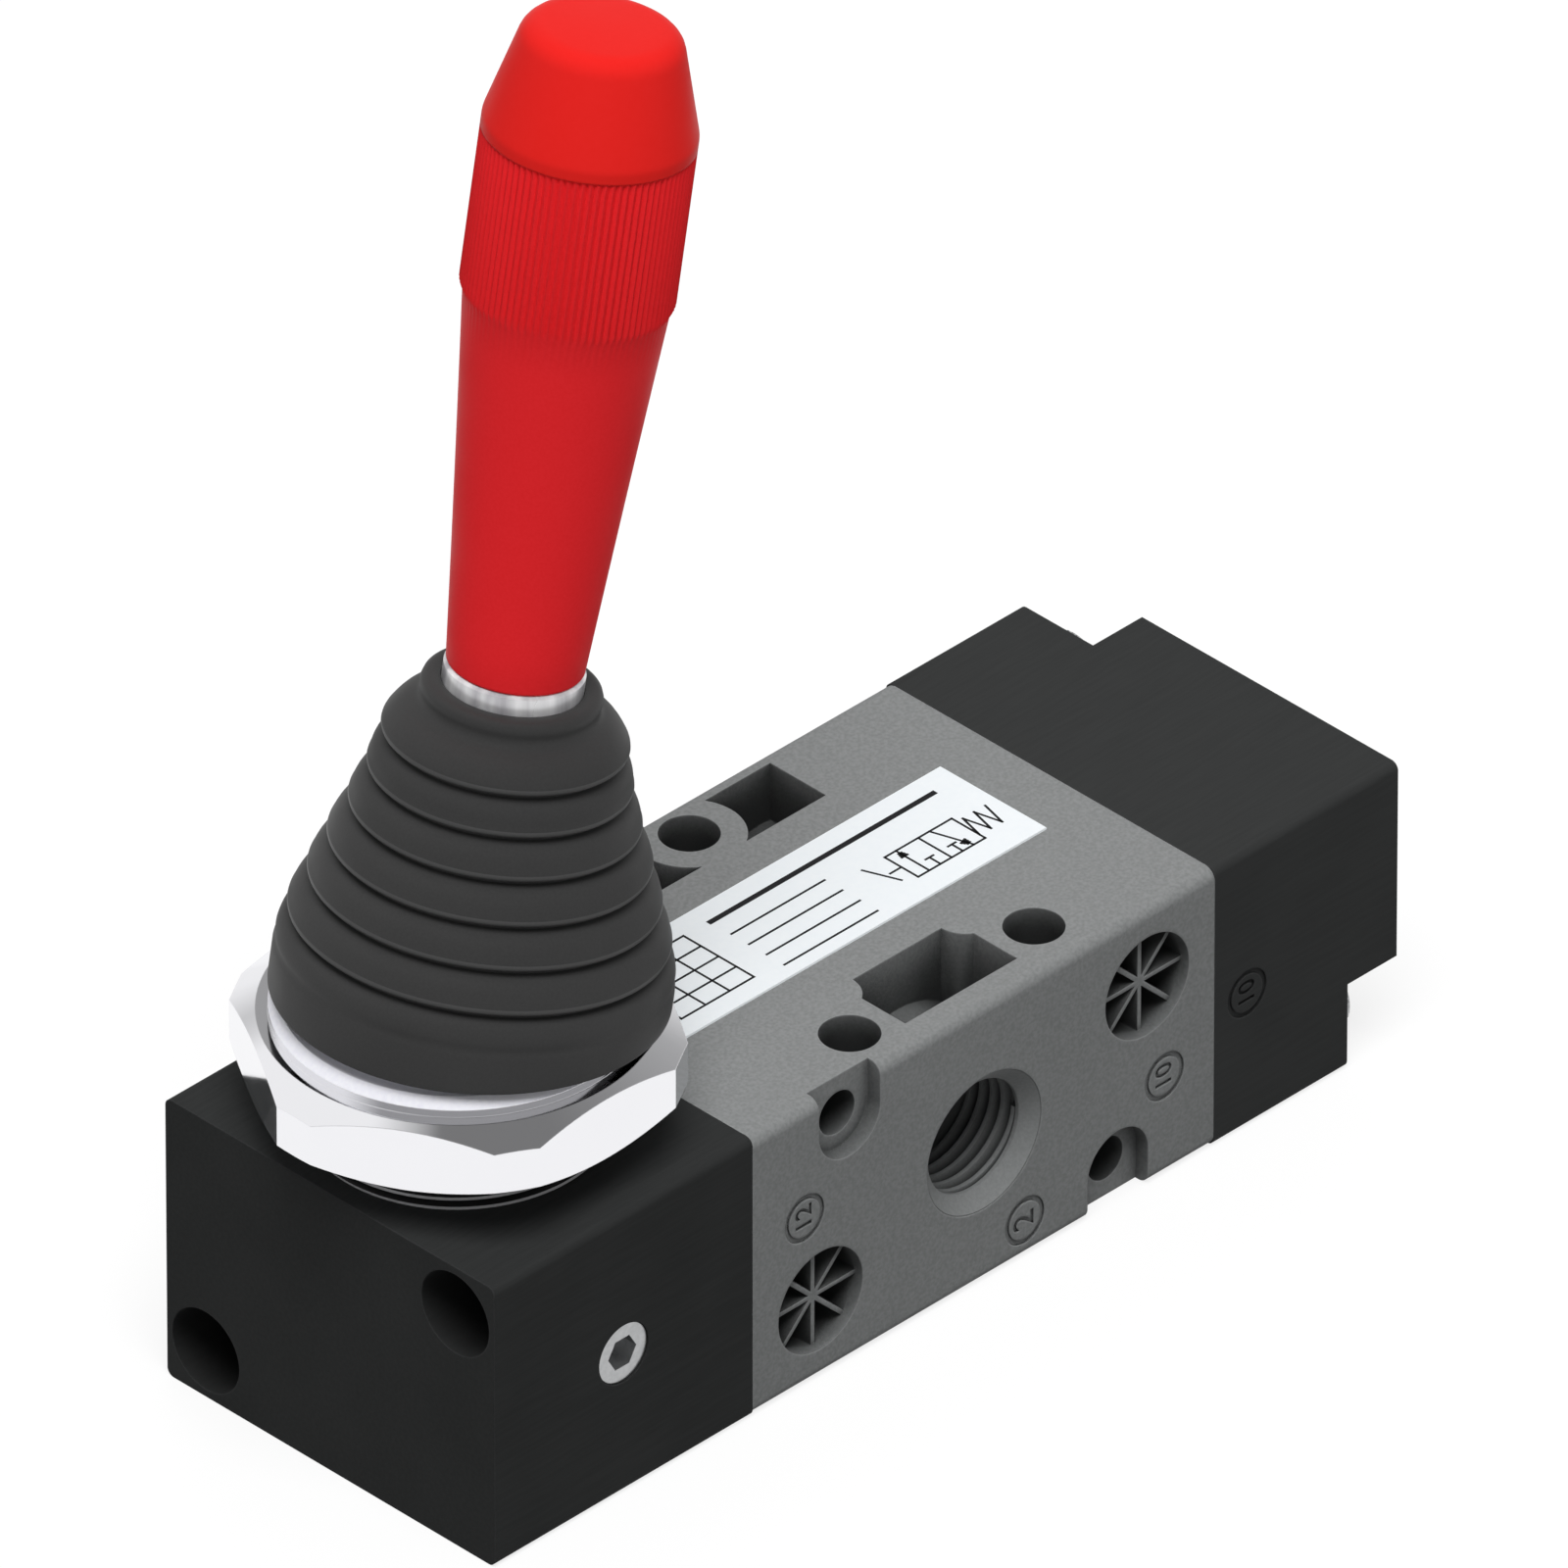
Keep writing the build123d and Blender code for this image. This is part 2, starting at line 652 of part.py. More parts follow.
# Red lever knob, turned, with a blind bore for the stud
with BuildPart() as lever_knob:
    with BuildSketch(lever_plane):
        with BuildLine():
            Line((0, ferrule_top), (knob_foot_radius, ferrule_top))
            ThreePointArc((knob_foot_radius, ferrule_top),
                          (knob_middle_radius, ferrule_top + knob_middle_share * knob_taper_length),
                          (knob_shoulder_radius, knob_shoulder_height))
            Polyline((knob_shoulder_radius, knob_shoulder_height),
                     (knob_band_radius, knob_shoulder_height),
                     (knob_band_radius, knob_band_top),
                     (knob_crown_radius, knob_top),
                     (0, knob_top),
                     (0, ferrule_top))
        make_face()
    revolve(axis=lever_axis)
    crown_edge = lever_knob.edges().filter_by(GeomType.CIRCLE).sort_by(lever_axis)[-1]
    fillet(crown_edge, knob_crown_fillet)
    with BuildSketch(lever_plane):
        with BuildLine():
            Polyline((0, ferrule_top), (stud_radius + press_clearance, ferrule_top),
                     (stud_radius + press_clearance, shank_top + stud_length + knob_bore_spare),
                     (0, shank_top + stud_length + knob_bore_spare), close=True)
        make_face()
    revolve(axis=lever_axis, mode=Mode.SUBTRACT)
lever_knob.part.label = "lever_knob"
export_step(lever_knob.part, "parts/lever_knob.step")

# Rubber boot: stepped folds that widen downwards, each with a lip over a groove
with BuildPart() as bellows:
    with BuildSketch(lever_plane):
        with BuildLine():
            neck_bore = ferrule_radius + neck_gap
            Line((neck_bore, neck_top), (neck_radius, neck_top))
            Line((neck_radius, neck_top), (neck_waist_radius, neck_waist))
            groove = (neck_waist_radius, neck_waist)
            for fold, crest_radius in enumerate(fold_crest_radii):
                lip_height = first_fold_height - fold * fold_pitch
                nose = (crest_radius, lip_height + fold_nose)
                Line(groove, nose)
                lip = (crest_radius - fold_lip, lip_height)
                groove = (crest_radius - fold_depth, lip_height - fold_nose)
                Line(nose, lip)
                Line(lip, groove)
            Line(groove, (shoulder_radius, shoulder_height))
            inner_cuff = cuff_radius - cuff_wall
            inner_foot = (fold_crest_radii[-1] - fold_depth - boot_wall, cuff_top + cuff_reach)
            inner_head = (fold_crest_radii[0] - fold_depth - boot_wall, first_fold_height - fold_nose)
            Polyline((shoulder_radius, shoulder_height),
                     (shoulder_radius - cuff_groove_depth, cuff_groove_height),
                     (cuff_radius, cuff_top),
                     (cuff_radius, 0),
                     (inner_cuff, 0),
                     (inner_cuff, cuff_top),
                     inner_foot,
                     inner_head,
                     (neck_bore, neck_top - neck_wall_length),
                     (neck_bore, neck_top))
        make_face()
    revolve(axis=lever_axis)
    split(bisect_by=Plane(origin=(collar_x + cuff_offset_x, 0, cuff_height),
                          z_dir=(sin(radians(cuff_tilt)), 0, cos(radians(cuff_tilt)))), keep=Keep.TOP)
    split(bisect_by=Plane.XY.offset(nut_top + boot_clearance), keep=Keep.TOP)
    with BuildSketch(Plane.XY.offset(nut_top)):
        with Locations((collar_x, 0)):
            Circle(nut_ring_radius + boot_clearance)
    extrude(amount=nut_ring_height + boot_clearance, mode=Mode.SUBTRACT)
bellows.part.label = "bellows"
export_step(bellows.part, "parts/bellows.step")

# Slider: driven by the lever's ball, kept from turning by the dog point in its slot
with BuildPart() as slider:
    with BuildSketch(section_plane(slider_left)):
        Circle(slider_radius)
    extrude(amount=slider_right - slider_left)
    chamfer(slider.edges().filter_by(GeomType.CIRCLE), slider_chamfer)
    with BuildSketch(Plane.XY):
        with Locations((ball_x, 0)):
            Circle(ball_radius + ball_clearance)
    extrude(amount=body_height, mode=Mode.SUBTRACT)
    with BuildSketch(section_plane(slider_right)):
        Circle(spool_stub_radius + press_clearance)
    extrude(amount=-spool_stub_length - press_clearance, mode=Mode.SUBTRACT)
    slot_length = stroke + 2 * guide_dog_radius + 2 * stop_gap
    with BuildSketch(front_plane(collar_x - stroke / 2, spool_height)):
        SlotOverall(slot_length, 2 * (guide_dog_radius + stop_gap))
    extrude(amount=-(body_width / 2 - slider_radius + guide_slot_depth), mode=Mode.SUBTRACT)
slider.part.label = "slider"
export_step(slider.part, "parts/slider.step")

# Spool with one waist that joins two neighbouring ports
seat_right = seat_left + seat_flange_thickness
with BuildPart() as spool:
    with BuildSketch(spool_plane):
        with BuildLine():
            Polyline((slider_right - spool_stub_length, 0),
                     (slider_right - spool_stub_length, spool_stub_radius),
                     (slider_right, spool_stub_radius),
                     (slider_right, spool_radius),
                     (spool_waist_start, spool_radius),
                     (spool_waist_start + spool_waist_slope, spool_waist_radius),
                     (spool_waist_end - spool_waist_slope, spool_waist_radius),
                     (spool_waist_end, spool_radius),
                     (seat_left, spool_radius),
                     (seat_left, spool_stub_radius),
                     (seat_left + seat_stub_length, spool_stub_radius),
                     (seat_left + seat_stub_length, 0), close=True)
        make_face()
    revolve(axis=spool_axis)
spool.part.label = "spool"
export_step(spool.part, "parts/spool.step")

# Spring seat on the spool's far end, which stops against the body at rest
with BuildPart() as spring_seat:
    with BuildSketch(section_plane(seat_left)):
        Circle(seat_flange_radius)
        Circle(spool_stub_radius + press_clearance, mode=Mode.SUBTRACT)
    extrude(amount=seat_flange_thickness)
    with BuildSketch(section_plane(seat_right)):
        Circle(seat_spigot_radius)
        Circle(spool_stub_radius + press_clearance, mode=Mode.SUBTRACT)
    extrude(amount=seat_spigot_length)
spring_seat.part.label = "spring_seat"
export_step(spring_seat.part, "parts/spring_seat.step")

# Return spring between the seat and the end cap's floor, its wire square in section
spring_start = seat_right + spring_wire_radius + stop_gap
spring_end = spring_floor_x - spring_wire_radius - stop_gap
with BuildPart() as return_spring:
    with BuildLine() as spring_path:
        Helix(pitch=(spring_end - spring_start) / spring_turns, height=spring_end - spring_start,
              radius=spring_mean_radius, center=(spring_start, 0, spool_height), direction=(1, 0, 0))
    with BuildSketch(Plane(origin=spring_path.line @ 0, z_dir=spring_path.line % 0)):
        RegularPolygon(spring_wire_radius, spring_wire_sides)
    sweep(is_frenet=True)
return_spring.part.label = "return_spring"
export_step(return_spring.part, "parts/return_spring.step")

# Label plate on the top face
with BuildPart() as label_plate:
    with BuildSketch(Plane.XY.offset(body_height)):
        with Locations((0, label_y)):
            RectangleRounded(label_length, label_width, label_corner_radius)
    extrude(amount=label_thickness)
label_plate.part.label = "label_plate"
export_step(label_plate.part, "parts/label_plate.step")
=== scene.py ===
"""Looks of the hand lever air valve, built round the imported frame.

Metres, Z up, in the frame of the CAD part: +X runs along the spool towards the end cap and the single
port faces -Y. Sizes in the classes are in millimetres, and MM turns them to metres.
"""

import json
import logging
from collections.abc import Callable
from dataclasses import dataclass, field, replace
from enum import Enum
from math import acos, atan2, cos, hypot, pi, radians, sin, sqrt

import bmesh
import bpy
from mathutils import Matrix, Vector


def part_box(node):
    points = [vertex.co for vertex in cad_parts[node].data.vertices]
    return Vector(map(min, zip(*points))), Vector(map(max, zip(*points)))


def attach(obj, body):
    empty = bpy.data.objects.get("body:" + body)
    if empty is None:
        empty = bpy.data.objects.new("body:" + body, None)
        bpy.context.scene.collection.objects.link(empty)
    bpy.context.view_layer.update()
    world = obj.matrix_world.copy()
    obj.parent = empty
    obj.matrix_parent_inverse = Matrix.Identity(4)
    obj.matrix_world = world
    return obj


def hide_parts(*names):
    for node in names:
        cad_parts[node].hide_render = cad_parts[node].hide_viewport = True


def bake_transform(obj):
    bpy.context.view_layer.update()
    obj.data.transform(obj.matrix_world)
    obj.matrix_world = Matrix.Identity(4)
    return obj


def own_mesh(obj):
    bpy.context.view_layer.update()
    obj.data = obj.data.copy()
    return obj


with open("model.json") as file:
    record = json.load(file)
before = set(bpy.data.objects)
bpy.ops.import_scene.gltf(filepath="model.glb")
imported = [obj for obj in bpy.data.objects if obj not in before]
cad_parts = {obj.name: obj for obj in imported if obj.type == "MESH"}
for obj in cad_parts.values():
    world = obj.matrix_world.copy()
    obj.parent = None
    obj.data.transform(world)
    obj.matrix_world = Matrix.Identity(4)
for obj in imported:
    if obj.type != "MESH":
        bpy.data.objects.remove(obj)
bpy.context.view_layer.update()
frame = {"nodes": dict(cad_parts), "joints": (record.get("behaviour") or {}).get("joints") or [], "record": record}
log = logging.getLogger("hand_lever_valve")

MM = 0.001
# Points nearer than this are one point
TOUCH = 0.001 * MM
HEXAGON = 6
ORIGIN = Vector((0, 0, 0))
# Two numbers: a height and a radius, a place on a face, or the ends of a span
Pair = tuple[float, float]
Profile = list[Pair]
Colour = tuple[float, float, float, float]
Piece, Tree, Socket = bpy.types.Object, bpy.types.NodeTree, bpy.types.NodeSocket


def joint(name: str) -> dict:
    """Return one of the frame's joints by its name."""
    return next(entry for entry in frame["joints"] if entry["name"] == name)


# The lever's tilt at rest in degrees: it swings to the same tilt on the other side
REST_TILT = joint("lever_swing")["range_deg"][1] / 2


def linear(hex_colour: str) -> Colour:
    """Turn an sRGB hex value into linear light with full alpha.

    Args:
        hex_colour: a value such as "#8c8e8e".

    Returns:
        Red, green, blue and alpha.
    """
    shades = [int(hex_colour[place:place + 2], 16) / 255 for place in (1, 3, 5)]
    return (*[s / 12.92 if s <= 0.04045 else ((s + 0.055) / 1.055) ** 2.4 for s in shades], 1.0)


def grey(level: float) -> Colour:
    """Return a grey of linear light with full alpha."""
    return (level, level, level, 1.0)


def add_node(tree: Tree, kind: str, inputs: dict | None = None, **settings) -> bpy.types.Node:
    """Add a shader node, give it its settings, and set or link its inputs.

    Args:
        tree: the node tree to add to.
        kind: the node's type name.
        inputs: socket name or number to a value, or to the output socket that feeds it.
        settings: the node's own properties.

    Returns:
        The new node.
    """
    node = tree.nodes.new(kind)
    for name, value in settings.items():
        setattr(node, name, value)
    for socket, value in (inputs or {}).items():
        if isinstance(value, Socket):
            tree.links.new(value, node.inputs[socket])
        else:
            node.inputs[socket].default_value = value
    return node


# Sockets of the Mix node when it mixes colours
MIX_A, MIX_B, MIX_RESULT = 6, 7, 2
# Rays that the nodes for edges and recesses send
LOOK_RAYS = 4
# The noise values where a pattern starts to show and where it shows in full, and how fine the noise is
GRAIN_BAND, GRAIN_DETAIL = (0.35, 0.65), 3.0
SMUDGE_BAND, SMUDGE_DETAIL = (0.3, 0.7), 2.0
# How wide the smudges of handling are, in millimetres
SMUDGE_SIZE = 9.0
# The cosine between the true and the rounded normal where the paler edge, partly wear and partly painted
# highlight, starts and where it is full
EDGE_BAND = (0.998, 0.8)


@dataclass(frozen=True)
class Finish:
    """A real surface: what it is made of, how it was made, and the pattern that this leaves. Some finishes also
    paint in highlights and shade.

    Sizes are in millimetres and turn is in degrees. A share says how much of a layer's colour shows.
    """

    name: str
    colour: str
    roughness: float
    metallic: float = 0.0
    specular: float = 0.5
    grain_size: float = 0.4
    grain_colour: str = ""
    grain_share: float = 0.5
    grain_depth: float = 0.0
    stretch: tuple[float, float, float] = (1.0, 1.0, 1.0)
    turn: float = 0.0
    edge_radius: float = 0.0
    # Paler edges, partly wear and partly painted highlight
    edge_highlight_and_wear_colour: str = ""
    edge_highlight_and_wear_share: float = 0.5
    smudge: float = 0.06
    # Painted shade in hollows: how far the test for open sky reaches, the dark colour, and the band of open sky
    # over which it fades in
    recess_shade_reach: float = 0.0
    recess_shade_colour: str = ""
    recess_shade_band: Pair = (0.76, 0.3)

    def material(self) -> bpy.types.Material:
        """Build the node material, once for each finish.

        Returns:
            The material.
        """
        made = bpy.data.materials.get(self.name)
        if made:
            return made
        made = bpy.data.materials.new(self.name)
        made.use_nodes = True
        tree = made.node_tree
        tree.nodes.clear()
        place = add_node(tree, "ShaderNodeTexCoord").outputs["Object"]
        grain = self._grain(tree, place)
        eased = add_node(tree, "ShaderNodeBevel", {"Radius": self.edge_radius * MM},
                         samples=LOOK_RAYS).outputs[0]
        shader = add_node(tree, "ShaderNodeBsdfPrincipled", {
            "Base Color": self._colour(tree, grain, eased), "Metallic": self.metallic,
            "Roughness": self._roughness(tree, place), "Specular IOR Level": self.specular,
            "Normal": self._normal(tree, grain, eased)})
        add_node(tree, "ShaderNodeOutputMaterial", {"Surface": shader.outputs[0]})
        return made

    def _grain(self, tree: Tree, place: Socket) -> Socket:
        """Draw a grain as wide as the real one, stretched where a tool drew it out.

        Args:
            tree: the material's nodes.
            place: the place on the piece.

        Returns:
            The grain's pattern.
        """
        turned_place = add_node(tree, "ShaderNodeMapping", {
            "Vector": place, "Rotation": (0, radians(self.turn), 0), "Scale": self.stretch})
        noise = add_node(tree, "ShaderNodeTexNoise", {
            "Vector": turned_place.outputs[0], "Scale": 1 / (self.grain_size * MM), "Detail": GRAIN_DETAIL})
        return noise.outputs[0]

    def _colour(self, tree: Tree, grain: Socket, eased: Socket) -> Socket:
        """Lay the grain, the paler edges (partly wear, partly painted highlight) and the painted shade of the
        recesses over the base colour.

        Args:
            tree: the material's nodes.
            grain: the grain's pattern.
            eased: the normal with its edges eased.

        Returns:
            The colour.
        """
        layers = [(grain, GRAIN_BAND, self.grain_share, self.grain_colour or self.colour)]
        if self.edge_highlight_and_wear_colour:
            # An edge is where the rounded normal leaves the true one; it is painted paler, partly as wear and
            # partly as a painted highlight
            true_normal = add_node(tree, "ShaderNodeNewGeometry").outputs["Normal"]
            likeness = add_node(tree, "ShaderNodeVectorMath", {0: eased, 1: true_normal},
                                operation="DOT_PRODUCT")
            layers.append((likeness.outputs["Value"], EDGE_BAND, self.edge_highlight_and_wear_share, self.edge_highlight_and_wear_colour))
        if self.recess_shade_colour:
            # Painted shade: where little open sky reaches a hollow, the colour darkens towards the recess colour
            open_sky = add_node(tree, "ShaderNodeAmbientOcclusion", {"Distance": self.recess_shade_reach * MM},
                                samples=LOOK_RAYS, only_local=True)
            layers.append((open_sky.outputs["AO"], self.recess_shade_band, 1.0, self.recess_shade_colour))
        colour = linear(self.colour)
        for pattern, (bare, full), share, layer_colour in layers:
            cover = add_node(tree, "ShaderNodeMapRange", {
                "Value": pattern, "From Min": bare, "From Max": full, "To Min": 0.0, "To Max": share})
            colour = add_node(tree, "ShaderNodeMix", {
                0: cover.outputs[0], MIX_A: colour, MIX_B: linear(layer_colour)},
                data_type="RGBA").outputs[MIX_RESULT]
        return colour

    def _roughness(self, tree: Tree, place: Socket) -> Socket:
        """Give the roughness the slow unevenness that handling leaves.

        Args:
            tree: the material's nodes.
            place: the place on the piece.

        Returns:
            The roughness.
        """
        noise = add_node(tree, "ShaderNodeTexNoise", {
            "Vector": place, "Scale": 1 / (SMUDGE_SIZE * MM), "Detail": SMUDGE_DETAIL})
        low, high = SMUDGE_BAND
        uneven = add_node(tree, "ShaderNodeMapRange", {
            "Value": noise.outputs[0], "From Min": low, "From Max": high,
            "To Min": self.roughness - self.smudge, "To Max": self.roughness + self.smudge})
        return uneven.outputs[0]

    def _normal(self, tree: Tree, grain: Socket, eased: Socket) -> Socket:
        """Lay the grain's relief over the normal.

        Args:
            tree: the material's nodes.
            grain: the grain's pattern.
            eased: the normal with its edges eased as the real ones are.

        Returns:
            The normal.
        """
        bump = add_node(tree, "ShaderNodeBump", {
            "Strength": 1.0, "Distance": self.grain_depth * MM, "Height": grain, "Normal": eased})
        return bump.outputs[0]


class Finishes(Enum):
    """Every finish on the valve."""

    # Aluminium, shot-blasted and anodised grey: an even speckle; edges a shade lighter, partly wear and partly
    # painted highlight; painted shade in the hollows
    BODY_GREY = Finish("shot_blasted_grey", "#7e8080", 0.66, specular=0.06, grain_size=0.34,
                       grain_colour="#8c8e8e", grain_share=0.85, grain_depth=0.01,
                       edge_radius=0.3, edge_highlight_and_wear_colour="#a7a9a9", edge_highlight_and_wear_share=0.6,
                       recess_shade_reach=9.0, recess_shade_colour="#343535")
    # The same body where the ports were bored after blasting: smoother, and a shade cleaner; edges a little paler,
    # partly wear and partly painted highlight; painted shade deep in the bores
    PORT_GREY = Finish("bored_grey_aluminium", "#7a7c7c", 0.55, specular=0.06, grain_size=0.3,
                       grain_colour="#868888", grain_share=0.6, grain_depth=0.003,
                       edge_radius=0.12, edge_highlight_and_wear_colour="#8e9090", edge_highlight_and_wear_share=0.3,
                       recess_shade_reach=9.0, recess_shade_colour="#3c3d3d", recess_shade_band=(0.7, 0.35))
    # Milled aluminium, black anodised: faint cutter lines along the block; edges a dark grey, partly wear and
    # partly painted highlight; painted shade in the hollows
    BLOCK_BLACK = Finish("black_anodised_aluminium", "#2e2f2f", 0.6, specular=0.03, grain_size=0.4,
                         grain_colour="#353636", grain_share=0.4, grain_depth=0.002,
                         stretch=(0.06, 1.0, 1.0), edge_radius=0.25, edge_highlight_and_wear_colour="#515253", edge_highlight_and_wear_share=0.45,
                         recess_shade_reach=9.0, recess_shade_colour="#1e1e1e")
    # The end cap's anodising came out a shade paler than the housing's
    CAP_BLACK = replace(BLOCK_BLACK, name="pale_black_anodised_aluminium", colour="#343535",
                        grain_colour="#3a3b3b")
    # Moulded nitrile rubber with a satin skin: dark grey, edges a little paler, partly wear and partly painted
    # highlight
    BOOT_RUBBER = Finish("moulded_nitrile_rubber", "#363636", 0.55, specular=0.2, grain_size=0.25,
                         grain_colour="#3b3b3b", grain_share=0.5, grain_depth=0.003,
                         edge_radius=0.3, edge_highlight_and_wear_colour="#686868", edge_highlight_and_wear_share=0.6)
    # Painted highlight along the boot's lips: a paler rubber, a little smoother too
    RUBBED_LIP = Finish("rubbed_nitrile_rubber", "#484848", 0.45, specular=0.2, grain_size=0.25,
                        grain_colour="#4c4c4c", grain_depth=0.002)
    # Black nitrile of the seals: matt
    SEAL_RUBBER = Finish("seal_rubber", "#1c1c1c", 0.7, specular=0.3, grain_depth=0.002)
    # Chrome plate over a milled nut: nearly a mirror, with soft corners
    CHROME = Finish("chrome_plate", "#f0f0f3", 0.09, metallic=1.0, grain_size=1.6, grain_depth=0.0008,
                    edge_radius=0.12, smudge=0.03)
    # Chrome plate over turned steel with fine lines round the axis; painted reflection: a mostly matt lavender
    # white stands in for what it mirrors, even in the cuff's shade
    SATIN_CHROME = Finish("satin_chrome_plate", "#f9f9ff", 0.4, metallic=0.15, grain_size=0.5,
                          grain_colour="#ededf8", grain_share=0.5, grain_depth=0.0008, edge_radius=0.1)
    # Drawn ferrule: a half-matt near-white with soft grey stripes along its length, partly the lines that drawing
    # leaves and partly painted reflection
    DRAWN_CHROME = Finish("drawn_bright_ferrule", "#fbfbfc", 0.3, metallic=0.45, grain_size=2.2,
                          grain_colour="#b2b0b5", grain_share=0.9, grain_depth=0.002,
                          stretch=(1.0, 1.0, 0.02), turn=-REST_TILT, edge_radius=0.1)
    # Zinc-plated steel: pale and slightly cloudy
    ZINC = Finish("zinc_plated_steel", "#b9babb", 0.34, metallic=0.9, grain_size=0.5, grain_colour="#a5a7a8",
                  grain_depth=0.002, edge_radius=0.1)
    # Ground steel of the lever rod, pin and spring: fine lines round the axis
    STEEL = Finish("ground_steel", "#b0b0b2", 0.28, metallic=1.0, grain_size=0.3, grain_colour="#9a9a9c",
                   grain_depth=0.001)
    # Turned aluminium of the spool and slider: bright
    ALUMINIUM = Finish("turned_aluminium", "#cfd0d1", 0.25, metallic=1.0, grain_size=0.3,
                       grain_colour="#bfc0c2", grain_depth=0.001)
    # Blackened steel of the collar and the flanks of its thread: dark, with a film of oil
    THREAD = Finish("blackened_thread", "#141414", 0.5, metallic=0.3, grain_size=0.4,
                    grain_colour="#1c1c1c", grain_depth=0.001)
    # Crests of the thread: pale satin steel, partly bare steel where the nut wore the black off and partly a
    # painted highlight
    CREST = Finish("worn_thread_crest", "#c8c8ca", 0.45, metallic=0.2, grain_size=0.4,
                   grain_colour="#b4b4b6", grain_depth=0.001)
    # Red glass-filled nylon, moulded: satin, with a very fine skin texture
    KNOB_RED = Finish("moulded_red_nylon", "#f92b30", 0.5, specular=0.05, grain_size=0.3,
                      grain_colour="#fd3036", grain_share=0.6, grain_depth=0.002,
                      edge_radius=0.12, edge_highlight_and_wear_colour="#f03434", edge_highlight_and_wear_share=0.3)
    # The same nylon where the crown was left smooth by the mould: cleaner, and a shade darker red, painted shade
    # that evens out the stronger light on the crown
    CROWN_RED = Finish("smooth_red_nylon", "#ec2622", 0.45, specular=0.04, grain_size=0.6,
                       grain_colour="#ee2926", grain_share=0.4, grain_depth=0.001, edge_radius=0.3)
    # Black acetal of the spacers and spring seat: waxy
    ACETAL = Finish("black_acetal", "#262627", 0.38, specular=0.4, grain_depth=0.001)
    # Silver-white polyester film of the label: smooth and slightly glossy
    LABEL_FILM = Finish("label_film", "#ebf0f3", 0.4, specular=0.2, grain_size=0.6,
                        grain_colour="#eff3f5", grain_depth=0.0006)
    # Screen-printed ink on the label: black and flat
    LABEL_INK = Finish("label_ink", "#19191b", 0.55, specular=0.2, grain_depth=0.0005)


NODE_FINISHES = {
    Finishes.BODY_GREY: ("valve_body",),
    Finishes.BLOCK_BLACK: ("lever_housing",),
    Finishes.CAP_BLACK: ("end_cap",),
    Finishes.SEAL_RUBBER: ("housing_seal", "end_cap_seal", "spool_seals"),
    Finishes.BOOT_RUBBER: ("bellows",),
    Finishes.ZINC: ("housing_screws", "end_cap_screws", "guide_screw"),
    Finishes.STEEL: ("pivot_pin", "lever_rod", "return_spring"),
    Finishes.ALUMINIUM: ("spool", "slider"),
    Finishes.ACETAL: ("spring_seat", "lever_end_spacer", "cap_end_spacer", "port_spacers"),
    Finishes.THREAD: ("threaded_collar",),
    Finishes.CHROME: ("panel_nut",),
    Finishes.DRAWN_CHROME: ("ferrule",),
    Finishes.KNOB_RED: ("lever_knob",),
    Finishes.LABEL_FILM: ("label_plate",),
}


def deselect() -> None:
    """Leave nothing selected in object mode."""
    bpy.ops.object.select_all(action="DESELECT")


def pick(*pieces: Piece) -> None:
    """Select objects and nothing else in object mode, with the last of them active."""
    deselect()
    for piece in pieces:
        piece.select_set(True)
        bpy.context.view_layer.objects.active = piece


def to_object_mode() -> None:
    """Leave edit mode."""
    bpy.ops.object.mode_set(mode="OBJECT")


def select_mesh() -> None:
    """Select all of the mesh in edit mode."""
    bpy.ops.mesh.select_all(action="SELECT")


def edit(piece: Piece) -> None:
    """Enter edit mode on one object with all of it selected.

    Args:
        piece: the object.
    """
    pick(piece)
    bpy.ops.object.mode_set(mode="EDIT")
    select_mesh()


def face_outward() -> None:
    """Turn all faces of the piece in edit mode outwards, and leave them selected."""
    select_mesh()
    bpy.ops.mesh.normals_make_consistent(inside=False)


def slice_off(point: Vector, outward: Vector) -> None:
    """Cut away in edit mode all that lies past a plane, and close the cut.

    Args:
        point: a point of the plane.
        outward: the way past the plane.
    """
    select_mesh()
    bpy.ops.mesh.bisect(plane_co=point, plane_no=outward, use_fill=True, clear_outer=True, threshold=TOUCH)


def join(piece: Piece, other: Piece) -> None:
    """Put another object's mesh into a piece, both in object mode.

    Args:
        piece: the piece, which keeps its name.
        other: the object that goes into it.
    """
    pick(other, piece)
    bpy.ops.object.join()


def settle(name: str) -> Piece:
    """Name the newest primitive, put its place in its mesh, and enter edit mode with all of it selected.

    Args:
        name: the piece's name.

    Returns:
        The object.
    """
    piece = bpy.context.object
    piece.name = name
    piece.data.name = name
    bpy.ops.object.transform_apply(location=True, rotation=True, scale=True)
    edit(piece)
    return piece


def turned(name: str, profile: Profile, centre: Vector, segments: int, hollow: bool = False) -> Piece:
    """Turn a piece about an upright axis: a disc or ring is added and extruded from ring to ring.

    Args:
        name: the piece's name.
        profile: height above the centre and radius of each ring, in millimetres.
        centre: the point of the axis that heights are measured from, in metres.
        segments: how many sides a ring has.
        hollow: whether the last ring joins the first, which leaves a bore.

    Returns:
        The object, in edit mode with all of it selected.
    """
    deselect()
    height, radius = profile[0]
    bpy.ops.mesh.primitive_circle_add(vertices=segments, radius=radius * MM,
                                      fill_type="NOTHING" if hollow else "NGON",
                                      location=centre + Vector((0, 0, height * MM)))
    piece = settle(name)
    for next_height, next_radius in profile[1:]:
        bpy.ops.mesh.extrude_region_move(
            TRANSFORM_OT_translate={"value": (0, 0, (next_height - height) * MM)})
        share = next_radius / radius
        bpy.ops.transform.resize(value=(share, share, 1), center_override=centre)
        height, radius = next_height, next_radius
    if hollow:
        bpy.ops.mesh.select_all(action="DESELECT")
        bpy.ops.mesh.select_non_manifold()
        bpy.ops.mesh.bridge_edge_loops()
    face_outward()
    return piece


